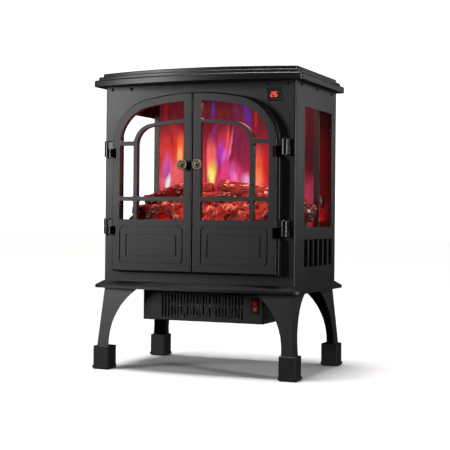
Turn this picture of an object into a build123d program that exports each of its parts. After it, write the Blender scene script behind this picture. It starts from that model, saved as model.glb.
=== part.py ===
from build123d import *
import os
from math import atan2, cos, degrees, radians, sin

# Electric fireplace in the style of a small free-standing stove, in millimetres.
# Origin on the floor under the middle of the overall box, +Z up, the doors face -Y.

os.makedirs("parts", exist_ok=True)

# ---------------------------------------------------------------- driving sizes

overall_height = 600
sheet = 1.5                      # steel sheet of the casing
skin = 2                         # thickness of the pressed top and base plates

casing_half = 206                # half the casing's width
casing_front = -110
casing_back = 145
casing_bottom = 179
casing_top = 573
casing_middle = (casing_front + casing_back) / 2
leg_middle = 15                  # the legs and feet stand evenly about this y
fold_radius = 4
front_return = 12                # front panel's folds, turned back along the sides
back_return = 15                 # side panels' folds, turned in behind the back panel

top_half = 224.5                 # top plate and base plate stand past the casing
top_front = casing_front - 18.5
top_bow = 36.5                   # how far the middle of the front edge bows out
top_back = casing_back + 2
base_front = casing_front - 18.5
base_back = casing_back + 13
base_bow = 20
base_bottom = 165
base_rim = 5.5

door_face = -134
door_thickness = 12
door_back = door_face + door_thickness
surround_face = -121
door_half = 176                  # hinge edge of a leaf
door_bottom = 200.5
spring_line = 452                # where the straight sides turn into the arch
door_crown = 554
crown_radius = 480
meeting_gap = 1                  # from the middle to a leaf's meeting edge

frame_width = 16                 # door frame around the panes
door_lap = 8                     # how far a closed leaf covers the surround behind it
stile_edge = 18                  # inner edge of the meeting stile
pane_bottom = 303
hoop_outer, hoop_inner = 129, 121
hoop_outer_crown, hoop_inner_crown = 501.5, 495
hoop_radius = 600
low_rail = (341, 349.3)
high_rail = (spring_line, spring_line + 8)

hinge_x = 190
hinge_y = -126
barrel_radius = 8
pin_radius = 3
running_clearance = 0.06
knuckle_height = 16
hinge_joints = (290, 446)        # level where each door knuckle sits on its casing knuckle
knuckle_gap = 0.3

knob_x = 16
knob_z = 411.7
knob_radius = 10.7

window_y = (-58, 114)            # side windows
window_z = (292, 527.5)
vent_count = 6
vent_pitch = 31
vent_first = -49
vent_width = 13
vent_z = (214, 268)

floor_top = 290                  # firebox
ceiling_bottom = 560
firebox_half = 200.8
glass = 3
screen_y = 85

display_at = (161, 547)          # centre of the display's window, in x and z
magnet_places = ((-14, 549.8), (14, 549.8))

heater_half = 131
heater_front = -80
heater_back = 100
heater_bottom = 100.5
heater_top = 176.8
grille_slots = 26
grille_pitch = 6.95
grille_z = (107, 155)

switch_x = 113.8
switch_z = 136
rocker_tilt = 7

leg_top = base_bottom + 5.1
leg_sheet = 2
leg_slope = 0.09                 # outward lean per millimetre of fall
leg_corner = (200, 131.5)        # outer corner at the leg's top, from the legs' middle lines
foot_half = (219.5, 150)         # outer corner of the feet
foot_flange = 38
foot_size = 35
foot_height = 47
pad_height = 2

screw_head = 3
screw_shank = 1.5


# ---------------------------------------------------------------- helpers

def save(builder, name):
    builder.part.label = name
    export_step(builder.part, f"parts/{name}.step")


def save_mirrored(builder, name):
    with BuildPart() as copy:
        mirror(builder.part, about=Plane.YZ)
    save(copy, name)


def facing(y):
    """Sketch plane across the object at y: sketch x is X, sketch y is Z, and it extrudes to the front."""
    return Plane.XZ.offset(-y)


def half_arch(half_width, bottom, crown, radius, inner_edge=0, mode=Mode.ADD):
    """Right half of a basket arch: a straight side, a tight haunch and a wide crown, tangent to each other."""
    rise = crown - spring_line
    haunch = (radius**2 - half_width**2 - (radius - rise) ** 2) / (2 * (radius - half_width))
    turn = degrees(atan2(radius - rise, half_width - haunch))
    with BuildLine() as outline:
        side = Line((half_width, bottom), (half_width, spring_line))
        shoulder = JernArc(side @ 1, side % 1, haunch, turn)
        top = JernArc(shoulder @ 1, shoulder % 1, radius, 90 - turn)
        Polyline(top @ 1, (0, bottom), (half_width, bottom))
    make_face(outline.edges(), mode=mode)
    if inner_edge:
        with Locations((inner_edge / 2, (bottom + crown) / 2)):
            Rectangle(inner_edge, 2 * (crown - bottom), mode=Mode.SUBTRACT)


def bowed_plate(half_width, front, back, bow, inset, corner):
    """Plate outline with a straight back, rounded corners and a front edge that bows out."""
    half, low, high = half_width - inset, front + inset, back - inset
    with BuildLine() as outline:
        Polyline((-half, low), (-half, high), (half, high), (half, low))
        ThreePointArc((half, low), (0, low - bow), (-half, low))
    made = make_face(outline.edges())
    fillet(made.vertices(), corner)


def screws(places, direction, length):
    """Pan-head screws at the places, each with its head standing out along direction."""
    for place in places:
        with BuildSketch(Plane(place, z_dir=direction)) as disc:
            Circle(screw_head)
        head = extrude(disc.sketch, amount=1.8)
        fillet(head.faces().filter_by(GeomType.PLANE).sort_by(Axis(place, direction))[-1].edges(), 1)
        with BuildSketch(Plane(place, z_dir=direction)) as shank:
            Circle(screw_shank)
        extrude(shank.sketch, amount=-length)


def screw_holes(places, direction):
    for place in places:
        with BuildSketch(Plane(place, z_dir=direction)) as hole:
            Circle(screw_shank + 0.1)
        extrude(hole.sketch, amount=6, both=True, mode=Mode.SUBTRACT)


front_screw_places = [(x, casing_front, 567.5) for x in (-190, -147, 147, 190)]
side_screw_places = [(casing_half, y, 567.5) for y in (-80, 15, 110)]
back_screw_places = [(x, casing_back, z) for x in (-196, 196) for z in (200, 320, 440, 555)]

# ---------------------------------------------------------------- top plate

with BuildPart() as top_plate:
    tiers = ((0, casing_top, 586), (6.5, 586, 592.8), (13.5, 592.8, overall_height))
    for inset, low, high in tiers:
        with BuildSketch(Plane.XY.offset(low)):
            bowed_plate(top_half, top_front, top_back, top_bow, inset, 9)
        extrude(amount=high - low)
    for level, radius in ((586, 3.5), (592.8, 2.2), (overall_height, 2)):
        rim = top_plate.faces().filter_by(Plane.XY).filter_by(lambda f: abs(f.center().Z - level) < 0.01)
        fillet(rim.sort_by(SortBy.AREA)[-1].outer_wire().edges(), radius)
    # a hollow pressing that follows its own tiers, open below over the casing
    for inset, low, high in tiers:
        with BuildSketch(Plane.XY.offset(max(low - skin, casing_top + skin))):
            bowed_plate(top_half, top_front, top_back, top_bow, inset + 3, 5)
        extrude(amount=high - skin - max(low - skin, casing_top + skin), mode=Mode.SUBTRACT)
    with BuildSketch(Plane.XY.offset(casing_top)):
        with Locations((0, casing_middle)):
            Rectangle(2 * casing_half - 24, casing_back - casing_front - 24)
    extrude(amount=2 * skin, mode=Mode.SUBTRACT)
save(top_plate, "top_plate")

# ---------------------------------------------------------------- casing

with BuildPart() as front_panel:
    with BuildSketch(Plane.XY.offset(casing_bottom)):
        with Locations((0, casing_front + front_return / 2)):
            outer = Rectangle(2 * casing_half, front_return)
        fillet(outer.vertices().group_by(Axis.Y)[0], fold_radius)
        with BuildSketch(mode=Mode.SUBTRACT):
            with Locations((0, casing_front + sheet + front_return / 2)):
                inner = Rectangle(2 * (casing_half - sheet), front_return)
            fillet(inner.vertices().group_by(Axis.Y)[0], fold_radius - sheet)
    extrude(amount=casing_top - casing_bottom)
    with BuildSketch(facing(casing_front + sheet)):
        half_arch(door_half - door_lap + 2, pane_bottom, door_crown - door_lap - 1, crown_radius - door_lap - 1)
        mirror(about=Plane.YZ)
        with Locations(display_at):
            Rectangle(24, 18)
    extrude(amount=sheet, mode=Mode.SUBTRACT)
    screw_holes(front_screw_places, (0, -1, 0))
save(front_panel, "front_panel")

with BuildPart() as right_side_panel:
    panel_front = casing_front + front_return + 0.5
    with BuildSketch(Plane.XY.offset(casing_bottom)):
        with BuildLine():
            corner = (casing_half, casing_back)
            Polyline((casing_half, panel_front), corner, (casing_half - back_return, casing_back),
                     (casing_half - back_return, casing_back - sheet),
                     (casing_half - sheet, casing_back - sheet), (casing_half - sheet, panel_front),
                     (casing_half, panel_front))
        fillet(make_face().vertices().sort_by_distance(corner)[0], 2)
    extrude(amount=casing_top - casing_bottom)
    with BuildSketch(Plane.YZ.offset(casing_half)):
        with Locations(((window_y[0] + window_y[1]) / 2, (window_z[0] + window_z[1]) / 2)):
            RectangleRounded(window_y[1] - window_y[0], window_z[1] - window_z[0], 2)
        for slot in range(vent_count):
            with Locations((vent_first + slot * vent_pitch, (vent_z[0] + vent_z[1]) / 2)):
                RectangleRounded(vent_width, vent_z[1] - vent_z[0], 2)
    extrude(amount=-sheet, mode=Mode.SUBTRACT)
    for slot in range(vent_count):
        lip_y = vent_first + slot * vent_pitch + vent_width / 2 + sheet / 2
        with BuildSketch(Plane.YZ.offset(casing_half)):
            with Locations((lip_y, (vent_z[0] + vent_z[1]) / 2)):
                Rectangle(sheet, vent_z[1] - vent_z[0])
        lip = extrude(amount=3.5)
        fillet(lip.edges().filter_by(Axis.Z).group_by(Axis.X)[-1], 0.6)
    screw_holes(side_screw_places, (1, 0, 0))
    screw_holes(back_screw_places, (0, 1, 0))
save(right_side_panel, "right_side_panel")
save_mirrored(right_side_panel, "left_side_panel")

gland_x, gland_z = -150, 215
with BuildPart() as back_panel:
    back_height = casing_top - casing_bottom - 4
    with BuildSketch(facing(casing_back - sheet)):
        with Locations((0, casing_bottom + 2 + back_height / 2)):
            Rectangle(2 * (casing_half - sheet) - 2, back_height)
    extrude(amount=sheet)
    with BuildSketch(facing(casing_back - sheet)):
        with Locations((0, 225), (0, 515)):
            with GridLocations(12, 0, 15, 1):
                SlotOverall(50, 5, rotation=90)
        with Locations((gland_x, gland_z)):
            Circle(8.1)
    extrude(amount=sheet, mode=Mode.SUBTRACT)
    screw_holes(back_screw_places, (0, 1, 0))
save(back_panel, "back_panel")

with BuildPart() as panel_screws:
    screws(front_screw_places, (0, -1, 0), 6)
    screws(side_screw_places, (1, 0, 0), 6)
    screws([(-x, y, z) for x, y, z in side_screw_places], (-1, 0, 0), 6)
    screws(back_screw_places, (0, 1, 0), 7)
save(panel_screws, "panel_screws")

with BuildPart() as cable_gland:
    with BuildSketch(Plane.XZ.offset(-casing_back)):
        with Locations((gland_x, gland_z)):
            RegularPolygon(11, 6)
    extrude(amount=-6)
    with BuildSketch(Plane.XZ.offset(-casing_back - 6)):
        with Locations((gland_x, gland_z)):
            Circle(8.5)
    extrude(amount=-9, taper=8)
    with BuildSketch(Plane.XZ.offset(-casing_back)):
        with Locations((gland_x, gland_z)):
            Circle(8)
    extrude(amount=12)
    with BuildSketch(Plane.XZ.offset(-casing_back - 20)):
        with Locations((gland_x, gland_z)):
            Circle(3.75)
    extrude(amount=40, mode=Mode.SUBTRACT)
save(cable_gland, "cable_gland")

# ---------------------------------------------------------------- base plate

with BuildPart() as base_plate:
    rim_top = base_bottom + base_rim
    with BuildSketch(Plane.XY.offset(base_bottom)):
        bowed_plate(top_half, base_front, base_back, base_bow, 0, 25)
    extrude(amount=base_rim)
    with BuildSketch(Plane.XY.offset(rim_top)):
        bowed_plate(top_half, base_front, base_back, base_bow, 0, 25)
    with BuildSketch(Plane.XY.offset(casing_bottom)):
        bowed_plate(top_half, base_front, base_back, base_bow, 15, 12)
    loft(ruled=True)
    # hollow below, with a ledge all round that the legs bolt up against
    with BuildSketch(Plane.XY.offset(base_bottom)):
        bowed_plate(top_half, base_front, base_back, base_bow, 3, 22)
    extrude(amount=leg_top + 0.1 - base_bottom, mode=Mode.SUBTRACT)
    with BuildSketch(Plane.XY.offset(base_bottom)):
        bowed_plate(top_half, base_front, base_back, base_bow, 32, 8)
    extrude(amount=casing_bottom - skin - base_bottom, mode=Mode.SUBTRACT)
    with BuildSketch(Plane.XY.offset(base_bottom)):
        with Locations((0, leg_middle + 20)):
            RectangleRounded(160, 60, 6)
    extrude(amount=20, mode=Mode.SUBTRACT)
save(base_plate, "base_plate")

# ---------------------------------------------------------------- legs and feet


def leg_corner_at(level):
    fall = leg_top - level
    return leg_corner[0] + fall * leg_slope, leg_corner[1] + fall * leg_slope


def leg_section(level):
    """Folded L of sheet steel with its corner outwards, long enough for the arcs to cut back."""
    x, y = leg_corner_at(level)
    arm = 92
    with BuildLine() as outline:
        Polyline((x, -y), (x, -y + arm), (x - leg_sheet, -y + arm), (x - leg_sheet, -y + leg_sheet),
                 (x - arm, -y + leg_sheet), (x - arm, -y), (x, -y))
    make_face(outline.edges())


with BuildPart() as front_right_leg:
    for level in (pad_height + 6, leg_top):
        with BuildSketch(Plane.XY.offset(level)):
            leg_section(level)
    loft(ruled=True)
    # the inner edge of each flange is an arc that ends upright above the foot
    for plane, centre, radius, outward in ((Plane.XZ, (56, 55), 130, 1), (Plane.YZ, (10, 50), 125, -1)):
        with BuildSketch(plane):
            with Locations(centre):
                Circle(radius)
            with Locations((centre[0] + outward * (radius - 100), centre[1] - 100)):
                Rectangle(200, 200)
        extrude(amount=260, mode=Mode.SUBTRACT)
    with BuildSketch(Plane.XY.offset(leg_top)):
        x, y = leg_corner_at(leg_top)
        with Locations((x - 13, -y + 13)):
            Rectangle(26, 26)
    extrude(amount=-leg_sheet)
leg_shape = front_right_leg.part.moved(Location((0, leg_middle, 0)))

with BuildPart() as front_right_foot:
    with BuildSketch(Plane.XY.offset(pad_height)):
        with Locations((foot_half[0] - foot_flange / 2, -foot_half[1] + foot_flange / 2)):
            RectangleRounded(foot_flange, foot_flange, 3)
    extrude(amount=5)
    sleeve = (foot_half[0] - 2 - foot_size / 2, -foot_half[1] + 2 + foot_size / 2)
    with BuildSketch(Plane.XY.offset(pad_height + 5)):
        with Locations(sleeve):
            RectangleRounded(foot_size, foot_size, 2.5)
    extrude(amount=foot_height - pad_height - 5)
    chamfer(front_right_foot.faces().sort_by(Axis.Z)[-1].outer_wire().edges(), 1)
    with BuildSketch(Plane.XY.offset(pad_height + 6)):
        with Locations(sleeve):
            Rectangle(foot_size - 2.6, foot_size - 2.6)
    extrude(amount=foot_height, mode=Mode.SUBTRACT)
foot_shape = front_right_foot.part.moved(Location((0, leg_middle, 0)))

across_legs = Plane.XZ.offset(-leg_middle)
for side_name, flip_side in (("right", False), ("left", True)):
    for end_name, flip_end in (("front", False), ("back", True)):
        for piece_name, shape in (("leg", leg_shape), ("foot", foot_shape)):
            if flip_side:
                shape = shape.mirror(Plane.YZ)
            if flip_end:
                shape = shape.mirror(across_legs)
            with BuildPart() as corner_piece:
                add(shape)
            save(corner_piece, f"{end_name}_{side_name}_{piece_name}")

with BuildPart() as foot_pads:
    pad = foot_flange - 4
    with BuildSketch():
        with Locations((0, leg_middle)):
            with GridLocations(2 * foot_half[0] - foot_flange, 2 * foot_half[1] - foot_flange, 2, 2):
                RectangleRounded(pad, pad, 3)
    extrude(amount=pad_height)
save(foot_pads, "foot_pads")

# ---------------------------------------------------------------- door surround and doors


def cut_hinge_notches(back, depth, side=1):
    """Notches in a hinge edge that leave room for the casing knuckles."""
    reach = 12
    for joint in hinge_joints:
        with BuildSketch(facing(back)) as notch:
            with Locations((side * (door_half + (reach - depth) / 2), joint - knuckle_height / 2 - 2)):
                Rectangle(reach + depth, knuckle_height + 5)
        extrude(notch.sketch, amount=20, mode=Mode.SUBTRACT)


with BuildPart() as door_surround:
    rim = 2
    with BuildSketch(facing(casing_front)):
        half_arch(door_half + rim, door_bottom - rim, door_crown + rim, crown_radius + rim)
        half_arch(door_half - door_lap, pane_bottom + 1, door_crown - door_lap - 3,
                  crown_radius - door_lap - 3, mode=Mode.SUBTRACT)
        with Locations((0, 251)):
            Rectangle(2 * (door_half - frame_width - 1), 72, mode=Mode.SUBTRACT)
        mirror(about=Plane.YZ)
    extrude(amount=casing_front - surround_face)
    fillet(door_surround.faces().sort_by(Axis.Y)[0].outer_wire().edges(), 2.5)
    with BuildSketch(facing(surround_face + 8)):
        with Locations(magnet_places):
            Rectangle(16, 8)
    extrude(amount=8, mode=Mode.SUBTRACT)
    cut_hinge_notches(casing_front, 4)
    cut_hinge_notches(casing_front, 4, side=-1)
save(door_surround, "door_surround")

with BuildPart() as door_magnets:
    with BuildSketch(facing(surround_face + 8)):
        with Locations(magnet_places):
            Rectangle(16, 8)
    extrude(amount=8.4)
save(door_magnets, "door_magnets")


def is_pane_corner(vertex):
    levels = (pane_bottom, *low_rail, *high_rail)
    on_rail = any(abs(vertex.Y - level) < 0.01 for level in levels)
    return on_rail or abs(vertex.X - stile_edge) < 0.01


with BuildPart() as right_door:
    with BuildSketch(facing(door_back)):
        half_arch(door_half, door_bottom, door_crown, crown_radius, inner_edge=meeting_gap)
    extrude(amount=door_thickness)
    fillet(right_door.faces().sort_by(Axis.Y)[0].outer_wire().edges(), 2.2)
    with BuildSketch() as hoop:
        half_arch(hoop_outer, pane_bottom, hoop_outer_crown, hoop_radius)
        half_arch(hoop_inner, pane_bottom, hoop_inner_crown, hoop_radius, mode=Mode.SUBTRACT)
    with BuildSketch(facing(door_back)) as panes:
        half_arch(door_half - frame_width, pane_bottom, door_crown - frame_width,
                  crown_radius - frame_width, inner_edge=stile_edge)
        add(hoop.sketch, mode=Mode.SUBTRACT)
        with Locations((door_half / 2, sum(low_rail) / 2)):
            Rectangle(door_half, low_rail[1] - low_rail[0], mode=Mode.SUBTRACT)
        rail_start = (hoop_inner + hoop_outer) / 2
        with Locations(((rail_start + door_half) / 2, sum(high_rail) / 2)):
            Rectangle(door_half - rail_start, high_rail[1] - high_rail[0], mode=Mode.SUBTRACT)
        fillet(panes.vertices().filter_by(is_pane_corner), 3.5)
    extrude(amount=door_thickness, mode=Mode.SUBTRACT)
    # two pressed grooves frame the lower panel
    for low, high, width, corner in (((18.8, 216), (159.3, 290.6), 2.2, 9), ((32.5, 230.3), (145, 275.3), 2.2, 3.5)):
        centre = ((low[0] + high[0]) / 2, (low[1] + high[1]) / 2)
        size = (high[0] - low[0], high[1] - low[1])
        with BuildSketch(facing(door_face + 1.8)):
            with Locations(centre):
                RectangleRounded(size[0], size[1], corner)
                RectangleRounded(size[0] - 2 * width, size[1] - 2 * width, corner - width / 2, mode=Mode.SUBTRACT)
        extrude(amount=1.8, mode=Mode.SUBTRACT)
    # the leaf is hollow behind the lower panel
    with BuildSketch(facing(door_back)):
        with Locations(((12 + 164) / 2, 251)):
            RectangleRounded(152, 82, 4)
    extrude(amount=door_thickness - 4, mode=Mode.SUBTRACT)
    cut_hinge_notches(door_back, 8)
save(right_door, "right_door")
save_mirrored(right_door, "left_door")

# ---------------------------------------------------------------- hinges

with BuildPart() as right_door_knuckles:
    for joint in hinge_joints:
        with BuildSketch(Plane.XY.offset(joint)):
            with Locations((hinge_x, hinge_y)):
                Circle(barrel_radius)
        barrel = extrude(amount=knuckle_height)
        fillet(barrel.faces().sort_by(Axis.Z)[-1].edges(), 3)
        with BuildSketch(Plane.XY.offset(joint)):
            with Locations(((door_half + hinge_x) / 2, hinge_y - 4)):
                Rectangle(hinge_x - door_half, 6)
        extrude(amount=knuckle_height - 3)
        with BuildSketch(Plane.XY.offset(joint)):
            with Locations((hinge_x, hinge_y)):
                Circle(pin_radius + running_clearance)
        extrude(amount=knuckle_height, mode=Mode.SUBTRACT)
save(right_door_knuckles, "right_door_knuckles")
save_mirrored(right_door_knuckles, "left_door_knuckles")

with BuildPart() as right_casing_knuckles:
    for joint in hinge_joints:
        top = joint - knuckle_gap
        with BuildSketch(Plane.XY.offset(top)):
            with Locations((hinge_x, hinge_y)):
                Circle(barrel_radius)
            with Locations((hinge_x + 4, (hinge_y + casing_front - 2) / 2)):
                Rectangle(9, casing_front - 2 - hinge_y)
        extrude(amount=-(knuckle_height - 0.5))
        with BuildSketch(Plane.XY.offset(top + 1)):
            with Locations((hinge_x + 4, casing_front - 1)):
                Rectangle(20, 2)
        extrude(amount=-(knuckle_height + 2))
        with BuildSketch(Plane.XY.offset(top)):
            with Locations((hinge_x, hinge_y)):
                Circle(pin_radius)
        extrude(amount=-knuckle_height, mode=Mode.SUBTRACT)
save(right_casing_knuckles, "right_casing_knuckles")
save_mirrored(right_casing_knuckles, "left_casing_knuckles")

with BuildPart() as right_hinge_pins:
    for joint in hinge_joints:
        low = joint - knuckle_gap - knuckle_height + 0.5
        ball = 3.8
        with BuildSketch(Plane((hinge_x, hinge_y, low), x_dir=(1, 0, 0), z_dir=(0, -1, 0))):
            with BuildLine():
                Polyline((ball, 0), (pin_radius, 0), (pin_radius, 2 * knuckle_height - 0.6),
                         (0, 2 * knuckle_height - 0.6), (0, -ball))
                JernArc((0, -ball), (1, 0), ball, 90)
            make_face()
        revolve(axis=Axis((hinge_x, hinge_y, low), (0, 0, 1)))
save(right_hinge_pins, "right_hinge_pins")
save_mirrored(right_hinge_pins, "left_hinge_pins")

# ---------------------------------------------------------------- door knobs

with BuildPart() as right_knob_stem:
    with BuildSketch(facing(door_face)):
        with Locations((knob_x, knob_z)):
            Circle(7)
    extrude(amount=3)
    with BuildSketch(facing(door_face - 3)):
        with Locations((knob_x, knob_z)):
            Circle(4)
    extrude(amount=8)
save(right_knob_stem, "right_knob_stem")
save_mirrored(right_knob_stem, "left_knob_stem")

with BuildPart() as right_knob:
    rosette_back = door_face - 11
    with BuildSketch(facing(rosette_back)):
        with Locations((knob_x, knob_z)):
            Circle(knob_radius)
    disc = extrude(amount=3.5)
    fillet(disc.edges(), 1.2)
    with BuildSketch(facing(rosette_back - 3.5)):
        with Locations((knob_x, knob_z)):
            Circle(3.6)
    boss = extrude(amount=1.8)
    fillet(boss.faces().sort_by(Axis.Y)[0].edges(), 1)
    with BuildSketch(facing(rosette_back - 4.2)):
        with Locations((knob_x, knob_z)):
            Rectangle(0.9, 5.2)
            Rectangle(5.2, 0.9)
    extrude(amount=1.1, mode=Mode.SUBTRACT)
save(right_knob, "right_knob")
save_mirrored(right_knob, "left_knob")

# ---------------------------------------------------------------- glass and firebox

with BuildPart() as front_glass:
    with BuildSketch(facing(casing_front + sheet + 0.1 + glass)):
        half_arch(door_half - door_lap + 10, pane_bottom - 8, door_crown - door_lap + 6, crown_radius - door_lap + 8)
        mirror(about=Plane.YZ)
    extrude(amount=glass)
save(front_glass, "front_glass")

side_glass_x = casing_half - sheet - 0.2
with BuildPart() as right_side_glass:
    with BuildSketch(Plane.YZ.offset(side_glass_x - glass)):
        with Locations(((window_y[0] + window_y[1]) / 2, (window_z[0] + window_z[1]) / 2)):
            RectangleRounded(window_y[1] - window_y[0] + 14, window_z[1] - window_z[0] + 16, 2)
    extrude(amount=glass)
save(right_side_glass, "right_side_glass")
save_mirrored(right_side_glass, "left_side_glass")

def glass_clip(edge_point, away, inward):
    """Bent spring clip: a foot on the sheet beyond the glass and a lip over the glass's edge."""
    steel, reach = 1.2, glass + 1.6
    up = Vector(*away).cross(Vector(*inward))
    with BuildSketch(Plane(edge_point, x_dir=away, z_dir=up)) as profile:
        with BuildLine():
            Polyline((9, 0), (9, steel), (0.5 + steel, steel), (0.5 + steel, reach), (-5, reach),
                     (-5, reach - steel), (0.5, reach - steel), (0.5, 0), (9, 0))
        make_face()
    extrude(profile.sketch, amount=7, both=True)


with BuildPart() as glass_clips:
    for side in (-1, 1):
        for z in (330, 430):
            glass_clip((side * (door_half - door_lap + 10), casing_front + sheet, z), (side, 0, 0), (0, 1, 0))
        for z in (330, 490):
            for y, turn in ((window_y[0] - 7, -1), (window_y[1] + 7, 1)):
                glass_clip((side * (casing_half - sheet), y, z), (0, turn, 0), (-side, 0, 0))
save(glass_clips, "glass_clips")


def firebox_sheet(level, flange, low):
    """Sheet across the firebox from low, with its front and back edges folded by flange, up or down."""
    high = casing_back - 6
    fold = sheet if flange > 0 else -sheet
    with BuildSketch(Plane.YZ.offset(-firebox_half)) as profile:
        with BuildLine():
            Polyline((low, level), (high, level), (high, level + flange), (high - sheet, level + flange),
                     (high - sheet, level + fold), (low + sheet, level + fold),
                     (low + sheet, level + flange), (low, level + flange), (low, level))
        make_face()
    extrude(profile.sketch, amount=2 * firebox_half)


with BuildPart() as firebox_floor:
    firebox_sheet(floor_top, -12, -103.5)
save(firebox_floor, "firebox_floor")

with BuildPart() as firebox_ceiling:
    firebox_sheet(ceiling_bottom, 5, -80)
save(firebox_ceiling, "firebox_ceiling")

screen_half = 187
with BuildPart() as flame_screen:
    with BuildSketch(facing(screen_y + 1.5)):
        with Locations((0, (floor_top + ceiling_bottom) / 2)):
            Rectangle(2 * screen_half, ceiling_bottom - floor_top - 0.4)
    extrude(amount=3)
save(flame_screen, "flame_screen")

with BuildPart() as screen_brackets:
    with BuildSketch(Plane.XY.offset(floor_top)):
        for side in (-1, 1):
            with Locations((side * (screen_half - 4), screen_y - 2.3)):
                Rectangle(10, 1.4)
            with Locations((side * (screen_half + 1.3), screen_y - 0.5)):
                Rectangle(1.4, 5)
    extrude(amount=ceiling_bottom - floor_top)
save(screen_brackets, "screen_brackets")

# ---------------------------------------------------------------- logs on the ember bed

logs = {
    "rear_left_log": ((-176, 48, 343), (-34, 52, 365), 16, 18),
    "rear_right_log": ((-14, 42, 368), (106, 46, 351), 21, 20),
    "left_log": ((-150, -36, 340), (-54, -6, 374), 14, 16),
    "middle_log": ((-50, -36, 344), (40, -22, 350), 15, 14),
    "right_log": ((108, -16, 346), (186, 52, 318), 15, 19),
    "front_log": ((-158, -70, 322), (-62, -76, 326), 11, 12),
}


def log_shape(start, end, start_radius, end_radius):
    """Tapered round log between two points, its ends cut square."""
    along = Vector(*end) - Vector(*start)
    with BuildSketch(Plane(start, z_dir=along)) as first:
        Circle(start_radius)
    with BuildSketch(Plane(end, z_dir=along)) as last:
        Circle(end_radius)
    loft([first.sketch, last.sketch])


with BuildPart() as ember_bed:
    with BuildSketch(Plane.YZ.offset(-178)):
        with BuildLine():
            Polyline((-94, floor_top), (-94, 300), (-70, 328), (-35, 343), (74, 356), (74, floor_top),
                     (-94, floor_top))
        make_face()
    extrude(amount=356)
    fillet(ember_bed.edges().filter_by(Axis.Z).group_by(Axis.Y)[0], 24)
    # every log lies in a seat of its own shape
    for start, end, start_radius, end_radius in logs.values():
        along = (Vector(*end) - Vector(*start)).normalized()
        with BuildSketch(Plane(Vector(*start) - along * 0.5, z_dir=along)):
            Circle(start_radius + 0.4)
        with BuildSketch(Plane(Vector(*end) + along * 0.5, z_dir=along)):
            Circle(end_radius + 0.4)
        loft(mode=Mode.SUBTRACT)
save(ember_bed, "ember_bed")

for log_name, log_size in logs.items():
    with BuildPart() as log:
        log_shape(*log_size)
        chamfer(log.edges().filter_by(GeomType.CIRCLE), 1.2)
    save(log, log_name)

# ---------------------------------------------------------------- flame spindle and its lamps

spindle_y, spindle_z, spindle_radius = 113, 345, 2
bearing_x, motor_x = -190, 170
with BuildPart() as flame_spindle:
    with BuildSketch(Plane.YZ.offset(bearing_x)):
        with Locations((spindle_y, spindle_z)):
            Circle(spindle_radius)
    extrude(amount=motor_x + 8 - bearing_x)
    # thin reflector vanes, each turned a sixth of a turn from the last
    for vane in range(13):
        turn = radians(60 * vane)
        middle = (-156 + 26 * vane, spindle_y, spindle_z)
        with BuildSketch(Plane(middle, x_dir=(1, 0, 0), z_dir=(0, -sin(turn), cos(turn)))):
            Rectangle(20, 24)
        extrude(amount=0.4, both=True)
save(flame_spindle, "flame_spindle")


def spindle_stand(x, width, radius):
    with BuildSketch(Plane.YZ.offset(x)) as profile:
        with Locations((spindle_y, spindle_z)):
            Circle(radius)
        with Locations((spindle_y, (floor_top + spindle_z) / 2)):
            Rectangle(12, spindle_z - floor_top)
    extrude(profile.sketch, amount=width)


with BuildPart() as spindle_motor:
    spindle_stand(motor_x, 3, 9)
    with BuildSketch(Plane.YZ.offset(motor_x)):
        with Locations((spindle_y, spindle_z)):
            Circle(14)
    can = extrude(amount=20)
    fillet(can.edges().filter_by(GeomType.CIRCLE).group_by(Axis.X)[-1], 2)
    with BuildSketch(Plane.YZ.offset(motor_x - 1)):
        with Locations((spindle_y, spindle_z)):
            Circle(spindle_radius + running_clearance)
    extrude(amount=10, mode=Mode.SUBTRACT)
save(spindle_motor, "spindle_motor")

with BuildPart() as led_board:
    with BuildSketch(Plane.XY.offset(floor_top)):
        with Locations((-140, spindle_y), (0, spindle_y), (140, spindle_y)):
            Circle(3)
    extrude(amount=5)
    with BuildSketch(Plane.XY.offset(floor_top + 5)):
        with Locations((0, spindle_y)):
            Rectangle(310, 20)
    extrude(amount=1.6)
    with BuildSketch(Plane.XY.offset(floor_top + 6.6)):
        with Locations((0, spindle_y)):
            with GridLocations(22, 0, 14, 1):
                Rectangle(3.5, 2.8)
    extrude(amount=0.9)
save(led_board, "led_board")

# ---------------------------------------------------------------- heater under the base

housing_depth = heater_back - heater_front
with BuildPart() as heater_housing:
    with BuildSketch(Plane.XY.offset(heater_bottom)):
        with Locations((0, (heater_front + heater_back) / 2)):
            RectangleRounded(2 * heater_half, housing_depth, 2)
    extrude(amount=heater_top - heater_bottom)
    fillet(heater_housing.faces().sort_by(Axis.Z)[0].edges(), 1.4)
    with BuildSketch(Plane.XY.offset(heater_top - sheet)):
        with Locations((0, (heater_front + heater_back) / 2)):
            Rectangle(2 * heater_half + 24, housing_depth - 30)
    extrude(amount=sheet)
    with BuildSketch(Plane.XY.offset(heater_bottom + sheet)):
        with Locations((0, (heater_front + heater_back) / 2)):
            Rectangle(2 * (heater_half - sheet), housing_depth - 2 * sheet)
    extrude(amount=heater_top, mode=Mode.SUBTRACT)
    slot_height = grille_z[1] - grille_z[0]
    with BuildSketch(facing(heater_front)):
        with Locations((0, sum(grille_z) / 2)):
            with GridLocations(grille_pitch, 0, grille_slots, 1):
                SlotOverall(slot_height, 3.8, rotation=90)
        with Locations((switch_x, switch_z)):
            Rectangle(14.4, 27)
    extrude(amount=-2 * sheet, mode=Mode.SUBTRACT)
    with BuildSketch(facing(heater_back)):
        with Locations((0, 139)):
            with GridLocations(14, 0, 13, 1):
                SlotOverall(46, 6, rotation=90)
    extrude(amount=2 * sheet, mode=Mode.SUBTRACT)
save(heater_housing, "heater_housing")

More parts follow.
